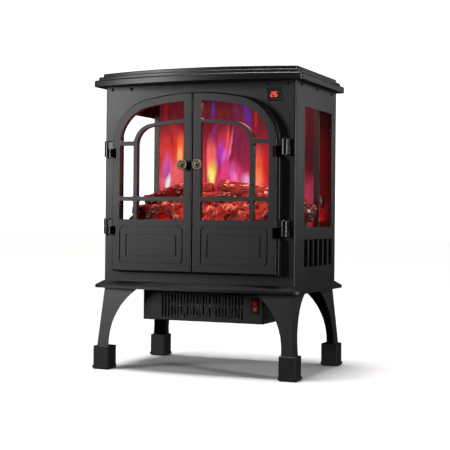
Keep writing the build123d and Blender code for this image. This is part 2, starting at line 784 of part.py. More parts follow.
with BuildPart() as outlet_mesh:
    mesh_back = heater_front + sheet + 3
    with BuildSketch(facing(mesh_back)):
        with Locations((0, sum(grille_z) / 2)):
            Rectangle(190, 58)
            with GridLocations(0, 6, 1, 9):
                Rectangle(182, 4.6, mode=Mode.SUBTRACT)
    extrude(amount=1)
    with BuildSketch(facing(mesh_back)):
        with Locations((0, sum(grille_z) / 2)):
            with GridLocations(182 / 12, 0, 11, 1):
                Rectangle(1.2, 54)
    extrude(amount=1)
save(outlet_mesh, "outlet_mesh")

with BuildPart() as heating_element:
    with BuildSketch(facing(heater_front + 32)):
        with Locations((0, 131)):
            Rectangle(180, 50)
            with Locations((0, 12), (0, -12)):
                Rectangle(172, 18, mode=Mode.SUBTRACT)
    extrude(amount=14)
    # fins between the ceramic bars
    with BuildSketch(facing(heater_front + 31)):
        with Locations((0, 119), (0, 143)):
            with GridLocations(4.4, 0, 38, 1):
                Rectangle(1, 18.2)
    extrude(amount=12)
save(heating_element, "heating_element")

blower_y, blower_z, blower_radius = 30, 139, 22
wheel_low, wheel_high = -88, 78
with BuildPart() as blower_wheel:
    for x in (wheel_low, -34, 22, wheel_high - 2):
        with BuildSketch(Plane.YZ.offset(x)):
            with Locations((blower_y, blower_z)):
                Circle(blower_radius)
        extrude(amount=2)
    with BuildSketch(Plane.YZ.offset(wheel_low)):
        with Locations((blower_y, blower_z)):
            with PolarLocations(blower_radius - 3.5, 18):
                Rectangle(6, 1, rotation=35)
    extrude(amount=wheel_high - wheel_low)
    with BuildSketch(Plane.YZ.offset(wheel_low - 14)):
        with Locations((blower_y, blower_z)):
            Circle(2.5)
    extrude(amount=wheel_high - wheel_low + 28)
save(blower_wheel, "blower_wheel")


def blower_stand(x, width, radius):
    with BuildSketch(Plane.YZ.offset(x)) as profile:
        with Locations((blower_y, blower_z)):
            Circle(radius)
        with Locations((blower_y, (heater_bottom + sheet + blower_z) / 2)):
            Rectangle(14, blower_z - heater_bottom - sheet)
    extrude(profile.sketch, amount=width)


def blower_bore(x, length):
    with BuildSketch(Plane.YZ.offset(x)) as bore:
        with Locations((blower_y, blower_z)):
            Circle(2.5 + running_clearance)
    extrude(bore.sketch, amount=length, mode=Mode.SUBTRACT)


with BuildPart() as bearing_stands:
    # one for the left end of the flame spindle, one for the left end of the blower
    spindle_stand(bearing_x - 3, 9, 7)
    with BuildSketch(Plane.YZ.offset(bearing_x)):
        with Locations((spindle_y, spindle_z)):
            Circle(spindle_radius + running_clearance)
    extrude(amount=7, mode=Mode.SUBTRACT)
    blower_stand(wheel_low - 15, 9, 9)
    blower_bore(wheel_low - 15, 9)
save(bearing_stands, "bearing_stands")

with BuildPart() as blower_motor:
    blower_stand(wheel_high + 5, 4, 12)
    with BuildSketch(Plane.YZ.offset(wheel_high + 5)):
        with Locations((blower_y, blower_z)):
            Circle(17)
    can = extrude(amount=30)
    fillet(can.edges().filter_by(GeomType.CIRCLE).group_by(Axis.X)[-1], 3)
    blower_bore(wheel_high + 4, 12)
save(blower_motor, "blower_motor")

# ---------------------------------------------------------------- rocker switch

rocker_pivot = (switch_x, heater_front + 5, switch_z)
cavity_width, cavity_height = 11.8, 25
with BuildPart() as rocker_bezel:
    with BuildSketch(facing(heater_front)):
        with Locations((switch_x, switch_z)):
            RectangleRounded(17, 31, 1.5)
    flange = extrude(amount=1.6)
    chamfer(flange.faces().sort_by(Axis.Y)[0].edges(), 0.7)
    with BuildSketch(facing(heater_front)):
        with Locations((switch_x, switch_z)):
            Rectangle(14.2, 26.8)
    extrude(amount=-16)
    with BuildSketch(facing(heater_front - 2)):
        with Locations((switch_x, switch_z)):
            Rectangle(cavity_width, cavity_height)
    extrude(amount=-15, mode=Mode.SUBTRACT)
    with BuildSketch(Plane.YZ.offset(switch_x - 6.7)):
        with Locations(rocker_pivot[1:]):
            Circle(1 + running_clearance)
    extrude(amount=13.4, mode=Mode.SUBTRACT)
save(rocker_bezel, "rocker_bezel")

with BuildPart() as rocker:
    # two faces that meet in a shallow V, tilted so that the upper half is pressed in
    tilt = radians(rocker_tilt)
    half, rise = 11.2, 11.2 * sin(tilt)
    with BuildSketch(Plane.YZ.offset(switch_x - 5.7)):
        with BuildLine():
            Polyline((4, 0), (1.5, -9), (-6 - rise, -half), (-6, 0), (-6 - rise, half), (1.5, 9), (4, 0))
        make_face()
    extrude(amount=11.4)
    with BuildSketch(Plane.YZ.offset(switch_x - 6.5)):
        Circle(1)
    extrude(amount=13)
rocker_shape = rocker.part.rotate(Axis.X, rocker_tilt).moved(Location((0, *rocker_pivot[1:])))
with BuildPart() as rocker_placed:
    add(rocker_shape)
save(rocker_placed, "rocker")

# ---------------------------------------------------------------- display and its board

with BuildPart() as display_bezel:
    with BuildSketch(facing(casing_front)):
        with Locations(display_at):
            RectangleRounded(34, 25.5, 2)
    flange = extrude(amount=2)
    fillet(flange.faces().sort_by(Axis.Y)[0].edges(), 1)
    with BuildSketch(facing(casing_front)):
        with Locations(display_at):
            Rectangle(23.6, 17.6)
    extrude(amount=-9)
    with BuildSketch(facing(casing_front - 3)):
        with Locations(display_at):
            Rectangle(20.4, 15.4)
    extrude(amount=-9, mode=Mode.SUBTRACT)
save(display_bezel, "display_bezel")

with BuildPart() as display_screen:
    with BuildSketch(facing(casing_front - 1.4)):
        with Locations(display_at):
            Rectangle(20.2, 15.2)
    extrude(amount=-6)
save(display_screen, "display_screen")

board_front = casing_front + 12
board_thickness = 1.6
with BuildPart() as control_board:
    with BuildSketch(facing(board_front)):
        with Locations((157, 558)):
            Rectangle(76, 22)
    extrude(amount=-board_thickness)
    with BuildSketch(facing(board_front)):
        with Locations((124, 563), (190, 563)):
            Circle(2.5)
    extrude(amount=board_front - casing_front - sheet)
    # relay, driver and buzzer stand on the back of the board
    with BuildSketch(facing(board_front + board_thickness)):
        with Locations((132, 561)):
            Rectangle(16, 12)
        with Locations((156, 560)):
            Rectangle(12, 9)
        with Locations((178, 561)):
            Circle(6)
    extrude(amount=-11)
save(control_board, "control_board")
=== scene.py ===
from math import cos, hypot, pi, radians, sin

import bmesh
import bpy
import numpy as np
from mathutils import Matrix, Vector, noise


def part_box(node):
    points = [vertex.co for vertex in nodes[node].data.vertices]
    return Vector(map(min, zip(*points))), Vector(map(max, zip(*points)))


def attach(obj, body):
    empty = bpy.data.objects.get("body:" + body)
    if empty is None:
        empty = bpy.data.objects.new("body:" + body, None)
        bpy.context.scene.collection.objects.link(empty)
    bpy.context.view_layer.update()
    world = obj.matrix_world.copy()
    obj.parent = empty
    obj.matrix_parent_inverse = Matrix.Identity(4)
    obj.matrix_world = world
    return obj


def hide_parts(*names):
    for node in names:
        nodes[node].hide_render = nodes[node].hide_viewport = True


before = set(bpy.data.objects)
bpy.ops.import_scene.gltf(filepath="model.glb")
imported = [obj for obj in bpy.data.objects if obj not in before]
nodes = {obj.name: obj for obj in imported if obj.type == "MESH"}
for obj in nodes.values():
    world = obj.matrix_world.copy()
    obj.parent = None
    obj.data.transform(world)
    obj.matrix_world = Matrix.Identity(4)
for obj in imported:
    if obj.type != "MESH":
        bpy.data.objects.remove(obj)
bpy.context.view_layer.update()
mm = 0.001


def linear(hexColour):
    # sRGB hex to the linear values that a shader wants
    parts = [int(hexColour[i:i + 2], 16) / 255 for i in (1, 3, 5)]
    return tuple(c / 12.92 if c <= 0.04045 else ((c + 0.055) / 1.055) ** 2.4 for c in parts) + (1.0,)


def perMetre(sizeMm):
    return 1000 / sizeMm  # texture scale that gives one feature every sizeMm


def addNode(tree, kind, values=None, links=None, **settings):
    node = tree.nodes.new(kind)
    for name, value in settings.items():
        setattr(node, name, value)
    for socket, value in (values or {}).items():
        node.inputs[socket].default_value = value
    for socket, source in (links or {}).items():
        tree.links.new(source if isinstance(source, bpy.types.NodeSocket) else source.outputs[0],
                       node.inputs[socket])
    return node


def newMaterial(name):
    # a material with its Principled shader wired to the output, ready for pattern nodes
    material = bpy.data.materials.new(name)
    material.use_nodes = True
    tree = material.node_tree
    tree.nodes.clear()
    shader = addNode(tree, "ShaderNodeBsdfPrincipled")
    addNode(tree, "ShaderNodeOutputMaterial", links={"Surface": shader})
    return material, tree, shader


def objectPlace(tree, stretch=(1, 1, 1)):
    place = addNode(tree, "ShaderNodeTexCoord").outputs["Object"]
    return addNode(tree, "ShaderNodeMapping", {"Scale": stretch}, {"Vector": place}).outputs[0]


def finishedMesh(name, build, smooth=True):
    # an object at the origin holding what build adds to an empty bmesh
    shape = bmesh.new()
    build(shape)
    mesh = bpy.data.meshes.new(name)
    shape.to_mesh(mesh)
    shape.free()
    for face in mesh.polygons:
        face.use_smooth = smooth
    made = bpy.data.objects.new(name, mesh)
    bpy.context.collection.objects.link(made)
    return made


def settle(piece, name):
    # the evaluated piece as a plain mesh object, with no modifier left on it
    mesh = bpy.data.meshes.new_from_object(piece.evaluated_get(bpy.context.evaluated_depsgraph_get()))
    mesh.name = name
    bpy.data.objects.remove(piece)
    made = bpy.data.objects.new(name, mesh)
    bpy.context.collection.objects.link(made)
    return made


def lathe(shape, profile, centre, axis, across, steps, wave=None):
    # turns (radius, height) pairs about axis; wave(angle, radius, height) may swell the radius
    side = axis.cross(across)
    rings = []
    for radius, height in profile:
        ring = []
        for step in range(steps):
            angle = 2 * pi * step / steps
            reach = wave(angle, radius, height) if wave else radius
            ring.append(shape.verts.new(centre + axis * height
                                        + (across * cos(angle) + side * sin(angle)) * reach))
        rings.append(ring)
    for low, high in zip(rings, rings[1:]):
        for step in range(steps):
            following = (step + 1) % steps
            shape.faces.new((low[step], low[following], high[following], high[step]))
    shape.faces.new(rings[0][::-1])
    shape.faces.new(rings[-1])
    return rings


def geometryTree(name, inputs):
    # an empty Geometry Nodes tree with named inputs; inputs is {name: (socket type, value)}
    tree = bpy.data.node_groups.new(name, "GeometryNodeTree")
    tree.interface.new_socket("Geometry", in_out="INPUT", socket_type="NodeSocketGeometry")
    tree.interface.new_socket("Geometry", in_out="OUTPUT", socket_type="NodeSocketGeometry")
    for label, kind in inputs.items():
        tree.interface.new_socket(label, in_out="INPUT", socket_type=kind)
    return tree, addNode(tree, "NodeGroupInput"), addNode(tree, "NodeGroupOutput")


def useTree(piece, tree, sizes):
    # runs the tree on piece, its inputs set by identifier before the first evaluation
    modifier = piece.modifiers.new(tree.name, "NODES")
    modifier.node_group = tree
    for item in tree.interface.items_tree:
        if item.item_type == "SOCKET" and item.in_out == "INPUT" and item.name in sizes:
            modifier[item.identifier] = sizes[item.name]


# finishes. Sprayed, cast and moulded skins share one pattern: cloudy colour, grain in the gloss and the relief.
# Grain is drawn near 2 mm, coarser than the real 0.3 mm, so that it can show at all.
skins = {
    "satinBlackPowderCoat": {"dark": "#101011", "light": "#171718", "cloudMm": 120, "grainMm": 2.0,
                             "reliefMm": 0.035, "roughness": (0.34, 0.43)},
    "paintedCastIron": {"dark": "#111112", "light": "#18181a", "cloudMm": 80, "grainMm": 2.4,
                        "reliefMm": 0.05, "roughness": (0.37, 0.48)},
    "glossBlackHinge": {"dark": "#0d0d0e", "light": "#161617", "cloudMm": 30, "grainMm": 1.4,
                        "reliefMm": 0.012, "roughness": (0.2, 0.3)},
    "polishedSteel": {"dark": "#8e8e8b", "light": "#b9b9b5", "cloudMm": 9, "grainMm": 0.9,
                      "reliefMm": 0.008, "roughness": (0.16, 0.3), "metallic": 1.0},
    "blackZincPlate": {"dark": "#1d1d21", "light": "#303037", "cloudMm": 6, "grainMm": 0.8,
                       "reliefMm": 0.01, "roughness": (0.3, 0.42), "metallic": 0.9},
    "mouldedNylon": {"dark": "#080808", "light": "#0f0f10", "cloudMm": 40, "grainMm": 1.3,
                     "reliefMm": 0.04, "roughness": (0.42, 0.56)},
    "blackRubber": {"dark": "#0a0a0a", "light": "#151515", "cloudMm": 20, "grainMm": 1.6,
                    "reliefMm": 0.09, "roughness": (0.75, 0.92)},
    "motorCanSteel": {"dark": "#7b7d7e", "light": "#9c9e9e", "cloudMm": 14, "grainMm": 1.2,
                      "reliefMm": 0.015, "roughness": (0.28, 0.42), "metallic": 1.0},
    "heaterEnamel": {"dark": "#0e0e0f", "light": "#151516", "cloudMm": 60, "grainMm": 1.8,
                     "reliefMm": 0.03, "roughness": (0.4, 0.52)},
    "darkWire": {"dark": "#2c2d30", "light": "#505257", "cloudMm": 12, "grainMm": 1.0,
                 "reliefMm": 0.01, "roughness": (0.34, 0.5), "metallic": 0.85},
    "aluminiumFin": {"dark": "#9b9b98", "light": "#c4c3be", "cloudMm": 8, "grainMm": 0.9,
                     "reliefMm": 0.02, "roughness": (0.3, 0.46), "metallic": 1.0},
    "blowerPolymer": {"dark": "#151617", "light": "#222324", "cloudMm": 25, "grainMm": 1.2,
                      "reliefMm": 0.03, "roughness": (0.45, 0.6)},
    "glossySwitchAbs": {"dark": "#09090a", "light": "#121213", "cloudMm": 10, "grainMm": 1.0,
                        "reliefMm": 0.012, "roughness": (0.22, 0.32)},
}


def skinMaterial(name):
    finish = skins[name]
    material, tree, shader = newMaterial(name)
    place = objectPlace(tree)
    cloud = addNode(tree, "ShaderNodeTexNoise", {"Scale": perMetre(finish["cloudMm"]), "Detail": 3.0},
                    {"Vector": place})
    grain = addNode(tree, "ShaderNodeTexNoise",
                    {"Scale": perMetre(finish["grainMm"]), "Detail": 3.0, "Roughness": 0.6}, {"Vector": place})
    total = addNode(tree, "ShaderNodeMath", links={0: cloud, 1: grain}, operation="ADD")
    share = addNode(tree, "ShaderNodeMapRange", {"From Min": 0.75, "From Max": 1.25}, {"Value": total})
    colour = addNode(tree, "ShaderNodeMix", {6: linear(finish["dark"]), 7: linear(finish["light"])},
                     {0: share}, data_type="RGBA")
    low, high = finish["roughness"]
    gloss = addNode(tree, "ShaderNodeMapRange", {"To Min": low, "To Max": high}, {"Value": share})
    relief = addNode(tree, "ShaderNodeBump", {"Distance": finish["reliefMm"] * mm}, {"Height": grain})
    tree.links.new(colour.outputs[2], shader.inputs["Base Color"])
    tree.links.new(gloss.outputs[0], shader.inputs["Roughness"])
    tree.links.new(relief.outputs[0], shader.inputs["Normal"])
    shader.inputs["Metallic"].default_value = finish.get("metallic", 0.0)
    return material


def galvanisedSheet():
    # hot-dipped zinc: flat crystals a few millimetres across, each with its own shade and gloss
    material, tree, shader = newMaterial("galvanisedSheet")
    spangle = addNode(tree, "ShaderNodeTexVoronoi", {"Scale": perMetre(9)}, {"Vector": objectPlace(tree)})
    shade = addNode(tree, "ShaderNodeSeparateColor", links={0: spangle.outputs["Color"]})
    colour = addNode(tree, "ShaderNodeMix", {6: linear("#6f7376"), 7: linear("#a2a6a8")}, {0: shade},
                     data_type="RGBA")
    gloss = addNode(tree, "ShaderNodeMapRange", {"To Min": 0.3, "To Max": 0.55}, {"Value": shade.outputs[1]})
    tree.links.new(colour.outputs[2], shader.inputs["Base Color"])
    tree.links.new(gloss.outputs[0], shader.inputs["Roughness"])
    shader.inputs["Metallic"].default_value = 1.0
    return material


def antiqueBrass():
    # brass with dark patina left in the hollows and rubbed bright where fingers touch
    material, tree, shader = newMaterial("antiqueBrass")
    place = objectPlace(tree)
    rubbed = addNode(tree, "ShaderNodeAttribute", attribute_name="rubbed")
    mottle = addNode(tree, "ShaderNodeTexNoise", {"Scale": perMetre(2.2), "Detail": 4.0}, {"Vector": place})
    total = addNode(tree, "ShaderNodeMath", links={0: rubbed.outputs["Fac"], 1: mottle}, operation="ADD")
    share = addNode(tree, "ShaderNodeMapRange", {"From Min": 0.45, "From Max": 1.35}, {"Value": total})
    colour = addNode(tree, "ShaderNodeMix", {6: linear("#211d16"), 7: linear("#9a9078")}, {0: share},
                     data_type="RGBA")
    gloss = addNode(tree, "ShaderNodeMapRange", {"To Min": 0.6, "To Max": 0.4}, {"Value": share})
    relief = addNode(tree, "ShaderNodeBump", {"Distance": 0.04 * mm}, {"Height": mottle})
    tree.links.new(colour.outputs[2], shader.inputs["Base Color"])
    tree.links.new(gloss.outputs[0], shader.inputs["Roughness"])
    tree.links.new(relief.outputs[0], shader.inputs["Normal"])
    shader.inputs["Metallic"].default_value = 1.0
    return material


def circuitBoard(litFrom=None):
    # green solder mask over etched tracks; with litFrom, the lamp chips above that height glow
    material, tree, shader = newMaterial("circuitBoardLit" if litFrom else "circuitBoard")
    track = addNode(tree, "ShaderNodeTexBrick",
                    {"Scale": perMetre(12), "Color1": linear("#0f4a2c"), "Color2": linear("#0b3a24"),
                     "Mortar": linear("#2c7a4c"), "Mortar Size": 0.03},
                    {"Vector": objectPlace(tree, (1, 1, 1.6))})
    tree.links.new(track.outputs["Color"], shader.inputs["Base Color"])
    relief = addNode(tree, "ShaderNodeBump", {"Distance": 0.05 * mm}, {"Height": track.outputs["Fac"]})
    tree.links.new(relief.outputs[0], shader.inputs["Normal"])
    shader.inputs["Roughness"].default_value = 0.38
    if litFrom:
        place = addNode(tree, "ShaderNodeSeparateXYZ", links={0: objectPlace(tree)})
        chip = addNode(tree, "ShaderNodeMath", {1: litFrom}, {0: place.outputs["Z"]}, operation="GREATER_THAN")
        glow = addNode(tree, "ShaderNodeMix", {6: (0, 0, 0, 1), 7: linear("#ff3c50")}, {0: chip},
                       data_type="RGBA")
        tree.links.new(glow.outputs[2], shader.inputs["Emission Color"])
        shader.inputs["Emission Strength"].default_value = 3.0
    return material


def clearGlass(shadeBandFrom=None):
    # thin toughened glass: sight and light pass straight through, a faint sheen stays. With a band distance
    # given, the glass is opaque black down both edges beyond that distance from the middle: painted shade
    # hiding the lit firebox
    material, tree, shader = newMaterial("shadeEdgedToughenedGlass" if shadeBandFrom else "clearToughenedGlass")
    smear = addNode(tree, "ShaderNodeTexNoise", {"Scale": perMetre(70), "Detail": 2.0},
                    {"Vector": objectPlace(tree)})
    haze = addNode(tree, "ShaderNodeMapRange", {"To Min": 0.02, "To Max": 0.09}, {"Value": smear})
    sheen = addNode(tree, "ShaderNodeBsdfGlossy", links={"Roughness": haze})
    clear = addNode(tree, "ShaderNodeBsdfTransparent", {"Color": (0.985, 0.985, 0.985, 1)})
    grazing = addNode(tree, "ShaderNodeLayerWeight", {"Blend": 0.5})
    steep = addNode(tree, "ShaderNodeMath", {1: 5.0}, {0: grazing.outputs["Facing"]}, operation="POWER")
    share = addNode(tree, "ShaderNodeMath", {1: 0.3, 2: 0.0008}, {0: steep}, operation="MULTIPLY_ADD")
    mixed = addNode(tree, "ShaderNodeMixShader", links={0: share, 1: clear, 2: sheen})
    if shadeBandFrom:
        shader.inputs["Base Color"].default_value = linear("#0a0a0a")
        place = addNode(tree, "ShaderNodeSeparateXYZ", links={0: objectPlace(tree)})
        reach = addNode(tree, "ShaderNodeMath", links={0: place.outputs["X"]}, operation="ABSOLUTE")
        band = addNode(tree, "ShaderNodeMath", {1: shadeBandFrom}, {0: reach}, operation="GREATER_THAN")
        mixed = addNode(tree, "ShaderNodeMixShader", links={0: band, 1: mixed, 2: shader})
    else:
        tree.nodes.remove(shader)
    tree.links.new(mixed.outputs[0], tree.nodes["Material Output"].inputs["Surface"])
    return material


def mirrorFoil():
    # crinkled reflective film on the spindle's vanes
    material, tree, shader = newMaterial("mirrorFoil")
    crinkle = addNode(tree, "ShaderNodeTexVoronoi", {"Scale": perMetre(5)}, {"Vector": objectPlace(tree)})
    relief = addNode(tree, "ShaderNodeBump", {"Distance": 0.4 * mm}, {"Height": crinkle})
    tint = addNode(tree, "ShaderNodeMix", {6: linear("#a8a9ad"), 7: linear("#d9dadd")}, {0: crinkle},
                   data_type="RGBA")
    tree.links.new(tint.outputs[2], shader.inputs["Base Color"])
    tree.links.new(relief.outputs[0], shader.inputs["Normal"])
    shader.inputs["Metallic"].default_value = 1.0
    shader.inputs["Roughness"].default_value = 0.22
    return material


# flame picture thrown on the screen. Soft tongues lie over a base that darkens upwards; x and z are
# millimetres across and up the object, wide and tall are each tongue's half sizes, lean is in degrees.
flamePicture = {
    "base": ((0.0, "#8c1426"), (0.3, "#c8284a"), (0.5, "#b4203c"), (0.7, "#841c30"), (0.82, "#681820"),
             (1.0, "#541620")),
    "swayMm": 12.0,
    "flickerMm": 3.5,
    "tongues": (
        # behind the left leaf
        {"x": -150, "z": 452, "wide": 50, "tall": 72, "lean": 0, "colour": "#dc3024", "weight": 1.0},
        {"x": -150, "z": 392, "wide": 48, "tall": 58, "lean": 0, "colour": "#e25c68", "weight": 1.0},
        {"x": -128, "z": 450, "wide": 15, "tall": 50, "lean": 2, "colour": "#ff6a34", "weight": 1.0},
        {"x": -128, "z": 441, "wide": 10, "tall": 28, "lean": 0, "colour": "#ffbc6c", "weight": 1.0},
        {"x": -152, "z": 484, "wide": 7, "tall": 38, "lean": -7, "colour": "#981a1c", "weight": 0.9},
        {"x": -161, "z": 424, "wide": 13, "tall": 46, "lean": 0, "colour": "#d8508c", "weight": 0.9},
        {"x": -160, "z": 414, "wide": 8, "tall": 38, "lean": 0, "colour": "#b048b4", "weight": 0.9},
        {"x": -155, "z": 382, "wide": 11, "tall": 26, "lean": 0, "colour": "#fff0ff", "weight": 1.0},
        {"x": -134, "z": 400, "wide": 20, "tall": 30, "lean": 0, "colour": "#ea5e60", "weight": 0.8},
        {"x": -163, "z": 540, "wide": 7, "tall": 40, "lean": 2, "colour": "#86181e", "weight": 0.7},
        # behind the meeting stiles
        {"x": -100, "z": 430, "wide": 24, "tall": 80, "lean": 0, "colour": "#e33a28", "weight": 1.0},
        {"x": -98, "z": 402, "wide": 11, "tall": 36, "lean": 0, "colour": "#ffc258", "weight": 1.0},
        # behind the right leaf
        {"x": -72, "z": 428, "wide": 8, "tall": 62, "lean": 0, "colour": "#d85058", "weight": 0.9},
        {"x": -53, "z": 438, "wide": 13, "tall": 56, "lean": 3, "colour": "#f66668", "weight": 1.0},
        {"x": -28, "z": 474, "wide": 18, "tall": 42, "lean": 6, "colour": "#c63a4c", "weight": 0.9},
        {"x": 14, "z": 462, "wide": 32, "tall": 74, "lean": 0, "colour": "#7c2244", "weight": 0.9},
        {"x": -52, "z": 402, "wide": 14, "tall": 36, "lean": 0, "colour": "#ffc850", "weight": 1.0},
        {"x": -51, "z": 398, "wide": 9, "tall": 26, "lean": -8, "colour": "#fff28c", "weight": 1.0},
        {"x": -28, "z": 444, "wide": 18, "tall": 40, "lean": 4, "colour": "#c444ae", "weight": 1.0},
        {"x": -38, "z": 440, "wide": 9, "tall": 38, "lean": 8, "colour": "#a83cb4", "weight": 0.8},
        {"x": -22, "z": 446, "wide": 8, "tall": 26, "lean": 10, "colour": "#ec68c8", "weight": 0.9},
        {"x": -18, "z": 474, "wide": 9, "tall": 42, "lean": 2, "colour": "#f0444c", "weight": 0.9},
        {"x": -9, "z": 462, "wide": 5, "tall": 52, "lean": 9, "colour": "#f078aa", "weight": 0.8},
        {"x": -24, "z": 398, "wide": 20, "tall": 48, "lean": 8, "colour": "#e0407a", "weight": 1.0},
        {"x": 4, "z": 396, "wide": 28, "tall": 44, "lean": -12, "colour": "#da4688", "weight": 1.0},
        {"x": -6, "z": 404, "wide": 12, "tall": 34, "lean": 6, "colour": "#d04cac", "weight": 0.9},
        {"x": 4, "z": 390, "wide": 12, "tall": 28, "lean": -14, "colour": "#ff76b0", "weight": 0.9},
        {"x": 30, "z": 382, "wide": 14, "tall": 32, "lean": -8, "colour": "#ffb0e0", "weight": 0.9},
        {"x": -48, "z": 546, "wide": 7, "tall": 30, "lean": 0, "colour": "#5030a8", "weight": 0.7},
        {"x": -44, "z": 490, "wide": 8, "tall": 44, "lean": 12, "colour": "#8c2c78", "weight": 0.6},
        {"x": 26, "z": 522, "wide": 10, "tall": 50, "lean": -14, "colour": "#4c2a98", "weight": 0.8},
        {"x": 4, "z": 532, "wide": 12, "tall": 34, "lean": 0, "colour": "#5c2458", "weight": 0.6},
        {"x": 48, "z": 524, "wide": 7, "tall": 40, "lean": 0, "colour": "#b81e2a", "weight": 0.8},
        {"x": 55, "z": 404, "wide": 18, "tall": 82, "lean": 0, "colour": "#f85a3a", "weight": 1.0},
        {"x": 52, "z": 384, "wide": 11, "tall": 40, "lean": 0, "colour": "#ff8a58", "weight": 1.0},
        {"x": 74, "z": 414, "wide": 15, "tall": 76, "lean": 0, "colour": "#c41c1a", "weight": 0.9},
        # towards the right end
        {"x": 102, "z": 424, "wide": 22, "tall": 84, "lean": 0, "colour": "#d83020", "weight": 1.0},
        {"x": 118, "z": 402, "wide": 11, "tall": 44, "lean": 0, "colour": "#f89848", "weight": 0.9},
        {"x": 140, "z": 440, "wide": 24, "tall": 90, "lean": 0, "colour": "#74182c", "weight": 1.0},
        {"x": 170, "z": 455, "wide": 34, "tall": 140, "lean": 0, "colour": "#460e16", "weight": 1.0},
        {"x": 166, "z": 350, "wide": 24, "tall": 62, "lean": 0, "colour": "#a83048", "weight": 1.0},
    ),
}


def flameScreen():
    # translucent acrylic that shows flames on its front face and a dull glow behind
    material, tree, shader = newMaterial("flameScreenAcrylic")
    low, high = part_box("flame_screen")
    place = addNode(tree, "ShaderNodeVectorMath", {3: 1000.0},
                    {0: addNode(tree, "ShaderNodeTexCoord").outputs["Object"]}, operation="SCALE")
    tall = addNode(tree, "ShaderNodeMapping", {"Scale": (1, 0, 0.36)}, {"Vector": place})
    moved = place
    for size, reach in ((42, flamePicture["swayMm"]), (13, flamePicture["flickerMm"])):
        swirl = addNode(tree, "ShaderNodeTexNoise", {"Scale": 1 / size, "Detail": 1.0}, {"Vector": tall})
        centred = addNode(tree, "ShaderNodeVectorMath", {1: (0.5, 0.5, 0.5)}, {0: swirl.outputs["Color"]},
                          operation="SUBTRACT")
        push = addNode(tree, "ShaderNodeVectorMath", {1: (2 * reach, 0, 2 * reach)}, {0: centred},
                       operation="MULTIPLY")
        moved = addNode(tree, "ShaderNodeVectorMath", links={0: moved, 1: push}, operation="ADD")
    rise = addNode(tree, "ShaderNodeSeparateXYZ", links={0: moved})
    height = addNode(tree, "ShaderNodeMapRange", {"From Min": low.z / mm, "From Max": high.z / mm},
                     {"Value": rise.outputs["Z"]})
    ramp = addNode(tree, "ShaderNodeValToRGB", links={0: height})
    stops = ramp.color_ramp.elements
    while len(stops) < len(flamePicture["base"]):
        stops.new(0.5)
    for stop, (position, colour) in zip(stops, flamePicture["base"]):
        stop.position, stop.color = position, linear(colour)
    picture = ramp.outputs[0]
    for tongue in flamePicture["tongues"]:
        local = addNode(tree, "ShaderNodeMapping",
                        {"Location": (tongue["x"], low.y / mm, tongue["z"]),
                         "Rotation": (0, radians(tongue["lean"]), 0),
                         "Scale": (tongue["wide"], 1000, tongue["tall"])},
                        {"Vector": moved}, vector_type="TEXTURE")
        fall = addNode(tree, "ShaderNodeTexGradient", links={0: local}, gradient_type="SPHERICAL")
        share = addNode(tree, "ShaderNodeMapRange",
                        {"From Max": 0.78, "To Max": tongue["weight"]},
                        {"Value": fall.outputs["Fac"]}, interpolation_type="SMOOTHSTEP")
        picture = addNode(tree, "ShaderNodeMix", {7: linear(tongue["colour"])}, {0: share, 6: picture},
                          data_type="RGBA").outputs[2]
    # fine upright streaks make the tongues look like licking flame
    thin = addNode(tree, "ShaderNodeMapping", {"Scale": (1, 0, 0.14)}, {"Vector": moved})
    streak = addNode(tree, "ShaderNodeTexNoise", {"Scale": 1 / 7, "Detail": 3.0, "Distortion": 0.4},
                     {"Vector": thin})
    lift = addNode(tree, "ShaderNodeMapRange",
                   {"From Min": 0.3, "From Max": 0.7, "To Min": 0.74, "To Max": 1.2}, {"Value": streak})
    flame = addNode(tree, "ShaderNodeVectorMath", links={0: picture, 3: lift}, operation="SCALE")
    depth = addNode(tree, "ShaderNodeSeparateXYZ", links={0: place})
    behind = addNode(tree, "ShaderNodeMath", {1: (low.y + 0.5 * mm) / mm}, {0: depth.outputs["Y"]},
                     operation="GREATER_THAN")
    shown = addNode(tree, "ShaderNodeMix", {7: linear("#32060c")}, {0: behind, 6: flame}, data_type="RGBA")
    tree.links.new(shown.outputs[2], shader.inputs["Emission Color"])
    shader.inputs["Emission Strength"].default_value = 1.0
    shader.inputs["Base Color"].default_value = linear("#0c0305")
    shader.inputs["Roughness"].default_value = 0.45
    shader.inputs["Specular IOR Level"].default_value = 0.08
    material.cycles.emission_sampling = "NONE"
    return material


